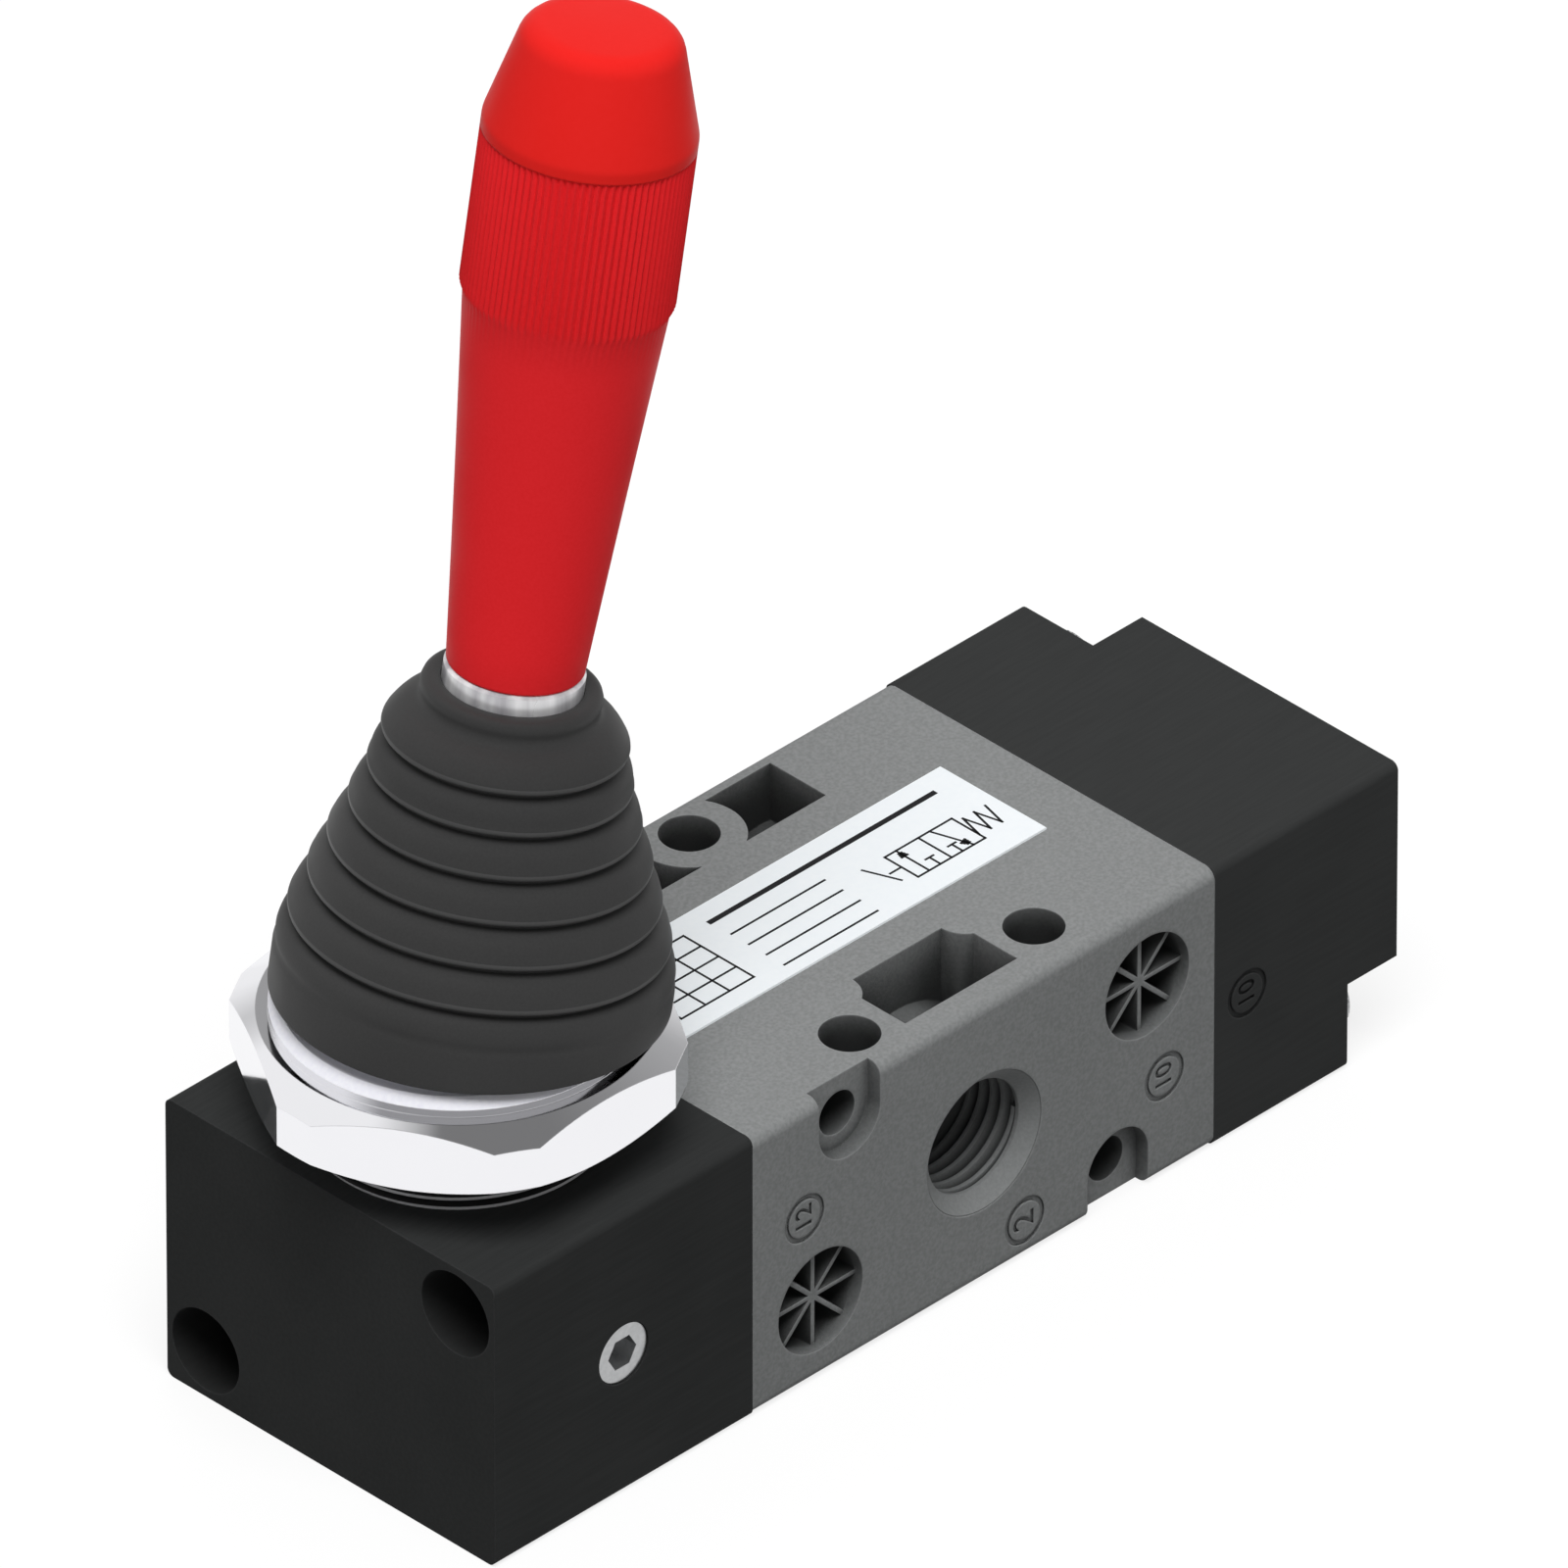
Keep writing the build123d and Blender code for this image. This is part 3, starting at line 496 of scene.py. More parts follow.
def close_piece(piece: Piece, *finishes: Finishes, sharp: float = 35.0) -> None:
    """Leave edit mode, shade the piece smooth up to an angle and give it its finishes.

    Args:
        piece: the object.
        finishes: its finishes, in the order of the faces' material numbers.
        sharp: the angle in degrees past which an edge stays sharp.
    """
    to_object_mode()
    pick(piece)
    bpy.ops.object.shade_smooth_by_angle(angle=radians(sharp))
    for finish in finishes:
        piece.data.materials.append(finish.value.material())


def second_finish(piece: Piece, wanted: Callable[[Vector], bool]) -> None:
    """Give the faces whose middle passes a test the piece's second material, in edit mode.

    Args:
        piece: the object in edit mode.
        wanted: a function of a face's middle that says whether it takes the second material.
    """
    mesh = bmesh.from_edit_mesh(piece.data)
    for face in mesh.faces:
        face.material_index = int(wanted(face.calc_center_median()))
    bmesh.update_edit_mesh(piece.data)


def cut_away(piece: Piece, tool: Piece) -> None:
    """Cut one object out of another with a Boolean modifier and remove the tool.

    Args:
        piece: what is cut, in object mode.
        tool: what is cut away.
    """
    pick(piece)
    cutter = piece.modifiers.new("cut", "BOOLEAN")
    cutter.object = tool
    cutter.operation = "DIFFERENCE"
    cutter.solver = "EXACT"
    bpy.ops.object.modifier_apply(modifier=cutter.name)
    bpy.data.objects.remove(tool)


def select_vertices(piece: Piece, wanted: Callable[[Vector], bool]) -> None:
    """Select in edit mode the vertices whose place passes a test.

    Args:
        piece: the object in edit mode.
        wanted: a function of a vertex's place that says whether it is selected.
    """
    bpy.ops.mesh.select_all(action="DESELECT")
    mesh = bmesh.from_edit_mesh(piece.data)
    for vertex in mesh.verts:
        vertex.select = wanted(vertex.co)
    mesh.select_flush(True)
    bmesh.update_edit_mesh(piece.data)


def press_columns(piece: Piece, centre: Vector, span: Pair, segments: int,
                  every: int, offset: int, size: float) -> None:
    """Move evenly spaced columns of a turned piece's vertices towards its axis, as flutes or a knurl.

    Args:
        piece: the object in edit mode, still upright.
        centre: a point of its axis.
        span: the lowest and highest height that is pressed, in metres.
        segments: how many sides the piece has.
        every: how many columns there are from one flute to the next.
        offset: which column of each group moves, counted from the flute's middle line to both sides.
        size: the share of their radius that the columns keep.
    """
    low, high = span

    def in_column(place: Vector) -> bool:
        """Say whether a vertex lies on one of the columns.

        Args:
            place: where the vertex is.

        Returns:
            Whether it does.
        """
        if not low < place.z < high:
            return False
        spoke = (place - centre).xy
        number = round(spoke.angle_signed(Vector((1, 0)), 0.0) / (2 * pi) * segments) % every
        return min(number, every - number) == offset

    select_vertices(piece, in_column)
    bpy.ops.transform.resize(value=(size, size, 1), center_override=centre)


def wind(piece: Piece, angle: float, rise: float, steps: int, repeats: int = 1) -> None:
    """Wind a ring of edges about the upright axis through the origin, and close the ends.

    Args:
        piece: the object in edit mode, whose mesh is the ring with no face in it.
        angle: how far one winding turns.
        rise: how far one winding climbs, in metres.
        steps: how many spans one winding has.
        repeats: how many windings follow one another.
    """
    to_object_mode()
    winding = piece.modifiers.new("winding", "SCREW")
    winding.axis = "Z"
    winding.angle = angle
    winding.screw_offset = rise
    winding.steps = winding.render_steps = steps
    winding.iterations = repeats
    bpy.ops.object.modifier_apply(modifier=winding.name)
    edit(piece)
    bpy.ops.mesh.remove_doubles(threshold=TOUCH)
    bpy.ops.mesh.fill_holes(sides=0)
    face_outward()


def arc_radius(height: float, points: tuple[Pair, Pair, Pair]) -> float:
    """Read the radius at a height on the arc through three points.

    Args:
        height: the height asked for.
        points: three (height, radius) points.

    Returns:
        The radius there.
    """
    (h0, r0), (h1, r1), (h2, r2) = points
    near_height, near_radius = h1 - h0, r1 - r0
    far_height, far_radius = h2 - h0, r2 - r0
    near_square = (h1 ** 2 - h0 ** 2 + r1 ** 2 - r0 ** 2) / 2
    far_square = (h2 ** 2 - h0 ** 2 + r2 ** 2 - r0 ** 2) / 2
    spread = near_height * far_radius - near_radius * far_height
    centre_height = (near_square * far_radius - near_radius * far_square) / spread
    centre_radius = (near_height * far_square - near_square * far_height) / spread
    reach = hypot(h0 - centre_height, r0 - centre_radius)
    side = 1 if r1 > centre_radius else -1
    return centre_radius + side * sqrt(reach ** 2 - (height - centre_height) ** 2)


def rounded_corner(before: Pair, corner: Pair, after: Pair, radius: float, steps: int) -> Profile:
    """Round a corner of a profile with an arc that touches both of its lines.

    Args:
        before: the profile point before the corner.
        corner: the corner.
        after: the profile point after it.
        radius: the arc's radius.
        steps: how many spans the arc has.

    Returns:
        The arc's points.
    """
    here, back, ahead = Vector(corner), Vector(before), Vector(after)
    first, second = (back - here).normalized(), (ahead - here).normalized()
    half = acos(max(-1.0, min(1.0, first.dot(second)))) / 2
    bisector = (first + second).normalized()
    centre = here + bisector * radius / sin(half)
    start = here + first * radius * cos(half) / sin(half) - centre
    end = here + second * radius * cos(half) / sin(half) - centre
    turn = start.angle(end)
    points = []
    for step in range(steps + 1):
        share = step / steps
        spoke = (start * sin((1 - share) * turn) + end * sin(share * turn)) / sin(turn)
        points.append(tuple(centre + spoke))
    return points


@dataclass
class Mechanism:
    """The lever's pivot and tilt, read from the frame's own joint."""

    pivot: Vector = field(default_factory=lambda: Vector(joint("lever_swing")["pos_m"]))
    tilt: float = radians(REST_TILT)

    def lean(self) -> None:
        """Turn the piece in edit mode from upright to the lever's resting tilt."""
        select_mesh()
        bpy.ops.transform.rotate(value=-self.tilt, orient_axis="Y", center_override=self.pivot)

    def along(self, height: float) -> Vector:
        """Return the point of the lever's axis at a height in millimetres from the pivot."""
        return self.pivot + Vector((sin(self.tilt), 0, cos(self.tilt))) * height * MM


@dataclass
class Knob:
    """The red knob: a tapered grip, a fluted band and a conical crown."""

    foot: Pair = (40.8, 6.14)
    middle: Pair = (55.36, 7.3)
    shoulder: Pair = (77.2, 9.15)
    band_radius: float = 9.55
    band_top: float = 94.3
    rim_height: float = 1.05
    rim_fillet: float = 2.5
    crown: Pair = (103.9, 6.95)
    crown_fillet: float = 2.2
    foot_fillet: float = 0.35
    step_length: float = 0.9
    flute_runout: float = 0.06
    flutes: int = 90
    flute_depth: float = 0.3
    flute_shares: Pair = (1.0, 0.5)
    taper_steps: int = 10
    corner_steps: int = 6
    sides_per_flute: int = 4

    def profile(self) -> Profile:
        """Draw the knob's outline from the foot to the crown.

        Returns:
            The outline's (height, radius) points.
        """
        foot_height = self.foot[0]
        outline = rounded_corner((foot_height, 0.0), self.foot, self.middle, self.foot_fillet,
                                 self.corner_steps)
        arc = (self.foot, self.middle, self.shoulder)
        span = self.shoulder[0] - foot_height
        for step in range(1, self.taper_steps):
            height = foot_height + span * step / self.taper_steps
            outline.append((height, arc_radius(height, arc)))
        rim_bottom = self.band_top - self.rim_height
        rim, corner = (rim_bottom, self.band_radius), (self.band_top, self.band_radius)
        outline += [self.shoulder, (self.shoulder[0] + self.step_length, self.band_radius),
                    (rim_bottom - self.flute_runout, self.band_radius), rim]
        outline += rounded_corner(rim, corner, self.crown, self.rim_fillet, self.corner_steps)
        outline += rounded_corner(corner, self.crown, (self.crown[0], 0.0), self.crown_fillet,
                                  self.corner_steps)
        return outline

    def build(self, mechanism: Mechanism) -> Piece:
        """Turn the knob, press the flutes into its band and lean it with the lever.

        Args:
            mechanism: the lever's pivot and tilt.

        Returns:
            The finished knob.
        """
        segments = self.flutes * self.sides_per_flute
        pivot = mechanism.pivot
        knob = turned("fluted_knob", self.profile(), pivot, segments)
        slack = self.flute_runout / 2
        span = (pivot.z + (self.shoulder[0] + self.step_length - slack) * MM,
                pivot.z + (self.band_top - self.rim_height - slack) * MM)
        for offset, share in enumerate(self.flute_shares):
            size = 1 - share * self.flute_depth / self.band_radius
            press_columns(knob, pivot, span, segments, self.sides_per_flute, offset, size)
        crown_bottom = pivot.z + (self.band_top - self.rim_height) * MM
        # Painted shade: the crown takes the darker red
        second_finish(knob, lambda middle: middle.z > crown_bottom)
        mechanism.lean()
        close_piece(knob, Finishes.KNOB_RED, Finishes.CROWN_RED, sharp=28.0)
        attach(knob, "lever")
        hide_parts("lever_knob")
        return knob


@dataclass
class Boot:
    """The rubber boot: a neck round the ferrule, six stepped folds, a shoulder and a cuff."""

    segments: int = 160
    neck: tuple[Pair, ...] = ((38.95, 6.36), (39.05, 6.9), (39.0, 7.55), (38.75, 7.95), (38.3, 8.1),
                              (37.9, 8.05))
    neck_foot: Pair = (36.9, 7.85)
    neck_fillet: float = 0.9
    fillet_steps: int = 5
    first_lip: float = 33.4
    pitch: float = 3.72
    crests: tuple[float, ...] = (10.9, 11.7, 12.9, 14.3, 15.6, 16.9)
    shoulder: Pair = (12.4, 17.66)
    crease: tuple[Pair, ...] = ((12.0, 17.63), (11.6, 17.56), (11.3, 17.66))
    cuff: Pair = (10.9, 17.78)
    cuff_middle: float = 5.0
    undercut: float = 1.1
    lip: tuple[Pair, ...] = ((0.95, -0.04), (0.7, 0.06), (0.45, 0.1), (0.22, 0.02), (0.06, -0.16),
                             (0.0, -0.38), (-0.08, -0.62), (-0.34, -0.85))
    # Where the lips' painted highlight lies: heights over each lip, and depth in from its crest
    lip_highlight_band: Pair = (0.2, 0.7)
    lip_highlight_depth: float = 0.2
    dome_bulge: float = 0.42
    dome_steps: int = 8
    cuff_wall: float = 0.75
    wall: float = 1.2
    inner_foot: float = 14.9
    inner_shoulder: float = 32.7
    inner_top: Pair = (34.7, 6.36)
    bend_start: float = 12.0
    bend_end: float = 36.0
    cuff_tilt: float = 5.6
    cuff_height: float = 43.3
    cuff_offset: float = 1.5
    ring_clearance: float = 0.3
    nut_height: float = 7.3

    def _dome(self, start: Pair, end: Pair) -> Profile:
        """Draw one dome that bulges out between two (height, radius) points.

        Args:
            start: the point that the dome starts from.
            end: the point that it ends at.

        Returns:
            The points between them.
        """
        (h0, r0), (h1, r1) = start, end
        length = hypot(h1 - h0, r1 - r0)
        out_height, out_radius = (r1 - r0) / length, (h0 - h1) / length
        points = []
        for step in range(1, self.dome_steps):
            share = step / self.dome_steps
            bulge = self.dome_bulge * sin(pi * share)
            points.append((h0 + (h1 - h0) * share + out_height * bulge,
                           r0 + (r1 - r0) * share + out_radius * bulge))
        return points

    def profile(self) -> Profile:
        """Draw the boot's outline: down the outside from the neck, then up the inside.

        Returns:
            The outline's (height, radius) points.
        """
        lips = [[(self.first_lip - fold * self.pitch + rise, crest + reach) for rise, reach in self.lip]
                for fold, crest in enumerate(self.crests)]
        dome = self._dome(self.neck_foot, lips[0][0])
        crease = rounded_corner(self.neck[-1], self.neck_foot, dome[0], self.neck_fillet, self.fillet_steps)
        outline = [*self.neck, *crease, *[place for place in dome if place[1] > crease[-1][1]]]
        for lip, below in zip(lips, [*lips[1:], [self.shoulder]]):
            outline += lip + self._dome(lip[-1], below[0])
        cuff_height, cuff_radius = self.cuff
        cuff_bore, fold_wall = cuff_radius - self.cuff_wall, self.undercut + self.wall
        outline += [self.shoulder, *self.crease, self.cuff, (self.cuff_middle, cuff_radius),
                    (0.0, cuff_radius), (0.0, cuff_bore), (cuff_height, cuff_bore),
                    (self.inner_foot, self.crests[-1] - fold_wall),
                    (self.inner_shoulder, self.crests[0] - fold_wall), self.inner_top]
        return outline

    def _on_lip(self, place: Vector) -> bool:
        """Say whether a point of the upright boot lies on the crest of a lip.

        Args:
            place: the point, seen from the pivot.

        Returns:
            Whether it does.
        """
        low, high = self.lip_highlight_band
        for fold, crest in enumerate(self.crests):
            rise = place.z / MM - (self.first_lip - fold * self.pitch)
            if low < rise < high and place.xy.length > (crest - self.lip_highlight_depth) * MM:
                return True
        return False

    def build(self, mechanism: Mechanism) -> Piece:
        """Turn the boot, lean it and cut its cuff level with the nut's ring.

        Args:
            mechanism: the lever's pivot and tilt.

        Returns:
            The finished boot.
        """
        boot = turned("rubber_boot", self.profile(), mechanism.pivot, self.segments, hollow=True)
        # Painted highlight: faces on the lips' crests take the paler rubber
        second_finish(boot, lambda middle: self._on_lip(middle - mechanism.pivot))
        mechanism.lean()
        nut_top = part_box("panel_nut")[0].z + self.nut_height * MM
        tilt = radians(self.cuff_tilt)
        slice_off(Vector((mechanism.pivot.x + self.cuff_offset * MM, 0, self.cuff_height * MM)),
                  Vector((-sin(tilt), 0, -cos(tilt))))
        slice_off(Vector((0, 0, nut_top + self.ring_clearance * MM)), Vector((0, 0, -1)))
        face_outward()
        close_piece(boot, Finishes.BOOT_RUBBER, Finishes.RUBBED_LIP, sharp=50.0)
        mechanism.along(self.bend_start)
        mechanism.along(self.bend_end)
        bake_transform(boot)
        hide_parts("bellows")
        return boot


# Shares of the pitch that a thread ridge's base and crest take
RIDGE_BASE, RIDGE_CREST = 0.88, 0.3


def thread_ridge(name: str, root: float, crest: float, pitch: float, height: float, segments: int) -> Piece:
    """Wind a thread's ridge about the upright axis through the origin.

    Args:
        name: the piece's name.
        root: the radius of the ridge's base, in millimetres.
        crest: the radius of its crest: under the root for a nut's thread.
        pitch: the thread's pitch in millimetres.
        height: how high the thread stands.
        segments: how many sides a turn has.

    Returns:
        The object, in edit mode, from half a pitch under the origin upwards.
    """
    deselect()
    middle = (root + crest) / 2
    bpy.ops.mesh.primitive_plane_add(size=1, location=(middle * MM, 0, 0), rotation=(pi / 2, 0, 0))
    ridge = settle(name)
    bpy.ops.transform.resize(value=(abs(crest - root) * MM, 1, RIDGE_BASE * pitch * MM),
                             center_override=(middle * MM, 0, 0))
    toward_crest = 1 if crest > root else -1
    select_vertices(ridge, lambda place: (place.x - middle * MM) * toward_crest > 0)
    bpy.ops.transform.resize(value=(1, 1, RIDGE_CREST / RIDGE_BASE), center_override=(crest * MM, 0, 0))
    select_mesh()
    bpy.ops.mesh.delete(type="ONLY_FACE")
    wind(ridge, 2 * pi, pitch * MM, segments, repeats=int(height / pitch))
    return ridge


@dataclass
class Collar:
    """The M28 x 1 threaded collar that stands on the lever housing."""

    pitch: float = 1.0
    major: float = 13.8
    minor: float = 13.2
    bore: float = 8.0
    foot_radius: float = 10.6
    foot_chamfer: float = 0.4
    spigot_radius: float = 11.0
    spigot_height: float = 6.0
    chamfer: float = 0.8
    first_turn: float = 5.55
    bury: float = 0.03
    crest_band: float = 0.02
    segments: int = 96

    def build(self) -> Piece:
        """Turn the collar's core, wind its thread and join the two.

        Returns:
            The finished collar.
        """
        low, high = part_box("threaded_collar")
        centre = Vector(((low.x + high.x) / 2, 0, low.z))
        top = (high.z - low.z) / MM
        profile = [(self.foot_chamfer, self.foot_radius), (0.0, self.foot_radius - self.foot_chamfer),
                   (0.0, self.bore), (top, self.bore), (top, self.minor - self.chamfer),
                   (top - self.chamfer, self.minor), (self.spigot_height, self.minor),
                   (self.spigot_height, self.spigot_radius), (self.foot_chamfer, self.spigot_radius)]
        core = turned("collar_core", profile, centre, self.segments, hollow=True)
        close_piece(core, Finishes.THREAD)
        thread = thread_ridge("threaded_collar_m28", self.minor - self.bury, self.major, self.pitch,
                              top - self.spigot_height - self.pitch, self.segments)
        bpy.ops.transform.translate(value=centre + Vector((0, 0, self.first_turn * MM)))
        # Painted highlight, partly wear: the crests take the pale steel
        second_finish(thread, lambda middle: (middle - centre).xy.length > (self.major - self.crest_band) * MM)
        close_piece(thread, Finishes.THREAD, Finishes.CREST)
        join(thread, core)
        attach(thread, "root")
        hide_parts("threaded_collar")
        return thread


@dataclass
class PanelNut:
    """The chromed hexagon nut that clamps the panel, with the turned ring that the boot's cuff grips."""

    across_flats: float = 37.2
    corner_radius: float = 20.4
    corner_flat: float = 20.28
    face_radius: float = 17.8
    height: float = 7.3
    chamfer: float = 1.6
    ring_radius: float = 16.7
    ring_height: float = 1.7
    ring_chamfer: float = 0.9
    neck_radius: float = 14.6
    neck_height: float = 4.0
    lip_radius: float = 9.5
    bore: float = 13.86
    bore_spare: float = 0.3
    ring_finish_rise: float = 0.425
    segments: int = 120

    def build(self) -> Piece:
        """Turn the blank and mill its six flats and corners.

        Returns:
            The finished nut.
        """
        low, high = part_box("panel_nut")
        centre = Vector(((low.x + high.x) / 2, 0, low.z))
        bore_top = (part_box("threaded_collar")[1].z - low.z) / MM + self.bore_spare
        ring_top, neck_top = self.height + self.ring_height, self.height + self.neck_height
        profile = [(0, self.bore), (0, self.face_radius), (self.chamfer, self.corner_radius),
                   (self.height - self.chamfer, self.corner_radius), (self.height, self.face_radius),
                   (self.height, self.ring_radius), (ring_top - self.ring_chamfer, self.ring_radius),
                   (ring_top, self.ring_radius - self.ring_chamfer), (ring_top, self.neck_radius),
                   (neck_top, self.neck_radius), (neck_top, self.lip_radius), (bore_top, self.lip_radius),
                   (bore_top, self.bore)]
        nut = turned("panel_nut_chrome", profile, centre, self.segments, hollow=True)
        for corner in range(HEXAGON):
            for side, distance in ((corner + 0.5, self.across_flats / 2), (corner, self.corner_flat)):
                angle = 2 * pi * side / HEXAGON
                outward = Vector((cos(angle), sin(angle), 0))
                slice_off(centre + outward * distance * MM, outward)
        # Painted reflection: the ring and neck take the pale lavender white
        ring_finish_from = centre.z + (self.height + self.ring_finish_rise) * MM
        second_finish(nut, lambda middle: middle.z > ring_finish_from)
        close_piece(nut, Finishes.CHROME, Finishes.SATIN_CHROME, sharp=20.0)
        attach(nut, "root")
        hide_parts("panel_nut")
        return nut


@dataclass
class PortThreads:
    """The G1/4 threads that line the three ports, each behind its countersunk mouth."""

    ports: tuple[str, ...] = ("port_front", "port_rear_lever_side", "port_rear_cap_side")
    pitch: float = 1.337
    major: float = 6.42
    minor: float = 5.72
    end_gap: float = 0.5
    mouth_radius: float = 7.12
    mouth_depth: float = 0.98
    liner_radius: float = 6.56
    bury: float = 0.05
    countersink: float = 1.35
    first_turn: float = 1.75
    segments: int = 72

    def build(self) -> list[Piece]:
        """Wind a thread for each port and lay it in its bore.

        Returns:
            The threads.
        """
        mounts = {mount["name"]: mount for mount in frame["record"]["mounts"]}
        pieces = []
        for name in self.ports:
            mount = mounts[name]
            outward = mount["axis"][1]
            length = mount["dims"]["length_mm"]
            thread = thread_ridge(f"{name}_thread", self.major + self.bury, self.minor, self.pitch,
                                  length - 2 * self.end_gap, self.segments)
            bpy.ops.transform.translate(value=(0, 0, (self.pitch / 2 + self.end_gap) * MM))
            to_object_mode()
            liner = self._liner(f"{name}_liner", length)
            to_object_mode()
            join(thread, liner)
            edit(thread)
            bpy.ops.transform.rotate(value=outward * pi / 2, orient_axis="X", center_override=ORIGIN)
            seat = mount["pos_m"][1] - outward * length / 2 * MM
            bpy.ops.transform.translate(value=(mount["pos_m"][0], seat, mount["pos_m"][2]))
            close_piece(thread, Finishes.PORT_GREY, sharp=25.0)
            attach(thread, "root")
            pieces.append(thread)
        return pieces

    def _liner(self, name: str, length: float) -> Piece:
        """Turn the liner, whose countersunk mouth stands in the port's round recess.

        Args:
            name: the liner's name.
            length: how deep the thread's bore is under the recess, in millimetres.

        Returns:
            The liner, upright with its inner end at the origin.
        """
        mouth = length + self.mouth_depth
        throat = self.minor - self.bury
        profile = [(0.0, self.liner_radius), (length, self.liner_radius), (length, self.mouth_radius),
                   (mouth, self.mouth_radius), (mouth - self.countersink, throat),
                   (mouth - self.first_turn, throat), (mouth - self.first_turn, self.major),
                   (0.0, self.major)]
        return turned(name, profile, ORIGIN, self.segments, hollow=True)


@dataclass
class ReturnSpring:
    """The return spring: round wire wound between the spring seat and the end cap's floor."""

    mean_radius: float = 5.25
    wire_radius: float = 0.57
    turns: float = 4.5
    wire_sides: int = 12
    steps_per_turn: int = 32

    def build(self) -> Piece:
        """Wind the spring upright and lay it along the spool.

        Returns:
            The finished spring.
        """
        low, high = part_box("return_spring")
        length = high.x - low.x
        deselect()
        bpy.ops.mesh.primitive_circle_add(vertices=self.wire_sides, radius=self.wire_radius * MM,
                                          location=(self.mean_radius * MM, 0, self.wire_radius * MM),
                                          rotation=(pi / 2, 0, 0))
        spring = settle("round_wire_spring")
        wind(spring, 2 * pi * self.turns, length - 2 * self.wire_radius * MM,
             int(self.turns * self.steps_per_turn))
        bpy.ops.transform.rotate(value=-pi / 2, orient_axis="Y", center_override=ORIGIN)
        height = (low.z + high.z) / 2
        bpy.ops.transform.translate(value=(low.x, 0, height))
        close_piece(spring, Finishes.STEEL, sharp=50.0)
        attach(spring, "root")
        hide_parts("return_spring")
        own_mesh(spring)
        return spring


@dataclass
class SocketScrews:
    """The two M4 socket cap screws of one end, on opposite corners of the section."""

    node: str
    name: str
    outward: int
    rising: bool
    head_radius: float = 3.5
    head_height: float = 4.0
    shank_radius: float = 2.0
    socket_width: float = 3.0
    socket_depth: float = 2.0
    edge: float = 0.3
    knurls: int = 40
    knurl_depth: float = 0.14

    def build(self) -> Piece:
        """Turn one screw, knurl its head, cut its socket and lay it and its copy in place.

        Returns:
            Both screws as one object.
        """
        low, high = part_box(self.node)
        end = -(high.x - low.x) / MM
        profile = [(0, self.head_radius - self.edge), (-self.edge, self.head_radius),
                   (self.edge - self.head_height, self.head_radius),
                   (-self.head_height, self.head_radius - self.edge), (-self.head_height, self.shank_radius),
                   (end + self.edge, self.shank_radius), (end, self.shank_radius - self.edge)]
        sides = 2 * self.knurls
        screw = turned(self.name, profile, ORIGIN, sides)
        span = ((self.edge / 2 - self.head_height) * MM, -self.edge / 2 * MM)
        press_columns(screw, ORIGIN, span, sides, every=2, offset=1,
                      size=1 - self.knurl_depth / self.head_radius)
        to_object_mode()
        corner = self.socket_width / 2 / cos(pi / HEXAGON)
        socket = turned("socket_tool", [(self.edge, corner), (-self.socket_depth, corner),
                                        (-self.socket_depth - corner / 2, self.edge)], ORIGIN, HEXAGON)
        to_object_mode()
        cut_away(screw, socket)
        edit(screw)
        bpy.ops.transform.rotate(value=-self.outward * pi / 2, orient_axis="Y", center_override=ORIGIN)
        first_z, second_z = (low.z, high.z) if self.rising else (high.z, low.z)
        inset = self.head_radius * MM
        face_x = high.x if self.outward > 0 else low.x
        first = Vector((face_x, low.y + inset, first_z + (inset if self.rising else -inset)))
        second = Vector((face_x, high.y - inset, second_z - (inset if self.rising else -inset)))
        bpy.ops.transform.translate(value=first)
        bpy.ops.mesh.duplicate_move(TRANSFORM_OT_translate={"value": second - first})
        close_piece(screw, Finishes.ZINC, sharp=30.0)
        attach(screw, "root")
        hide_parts(self.node)
        return screw


@dataclass(frozen=True)
class Mark:
    """A port number in a ring, and where its middle lies on the front face, in millimetres."""

    digits: str
    x: float
    z: float


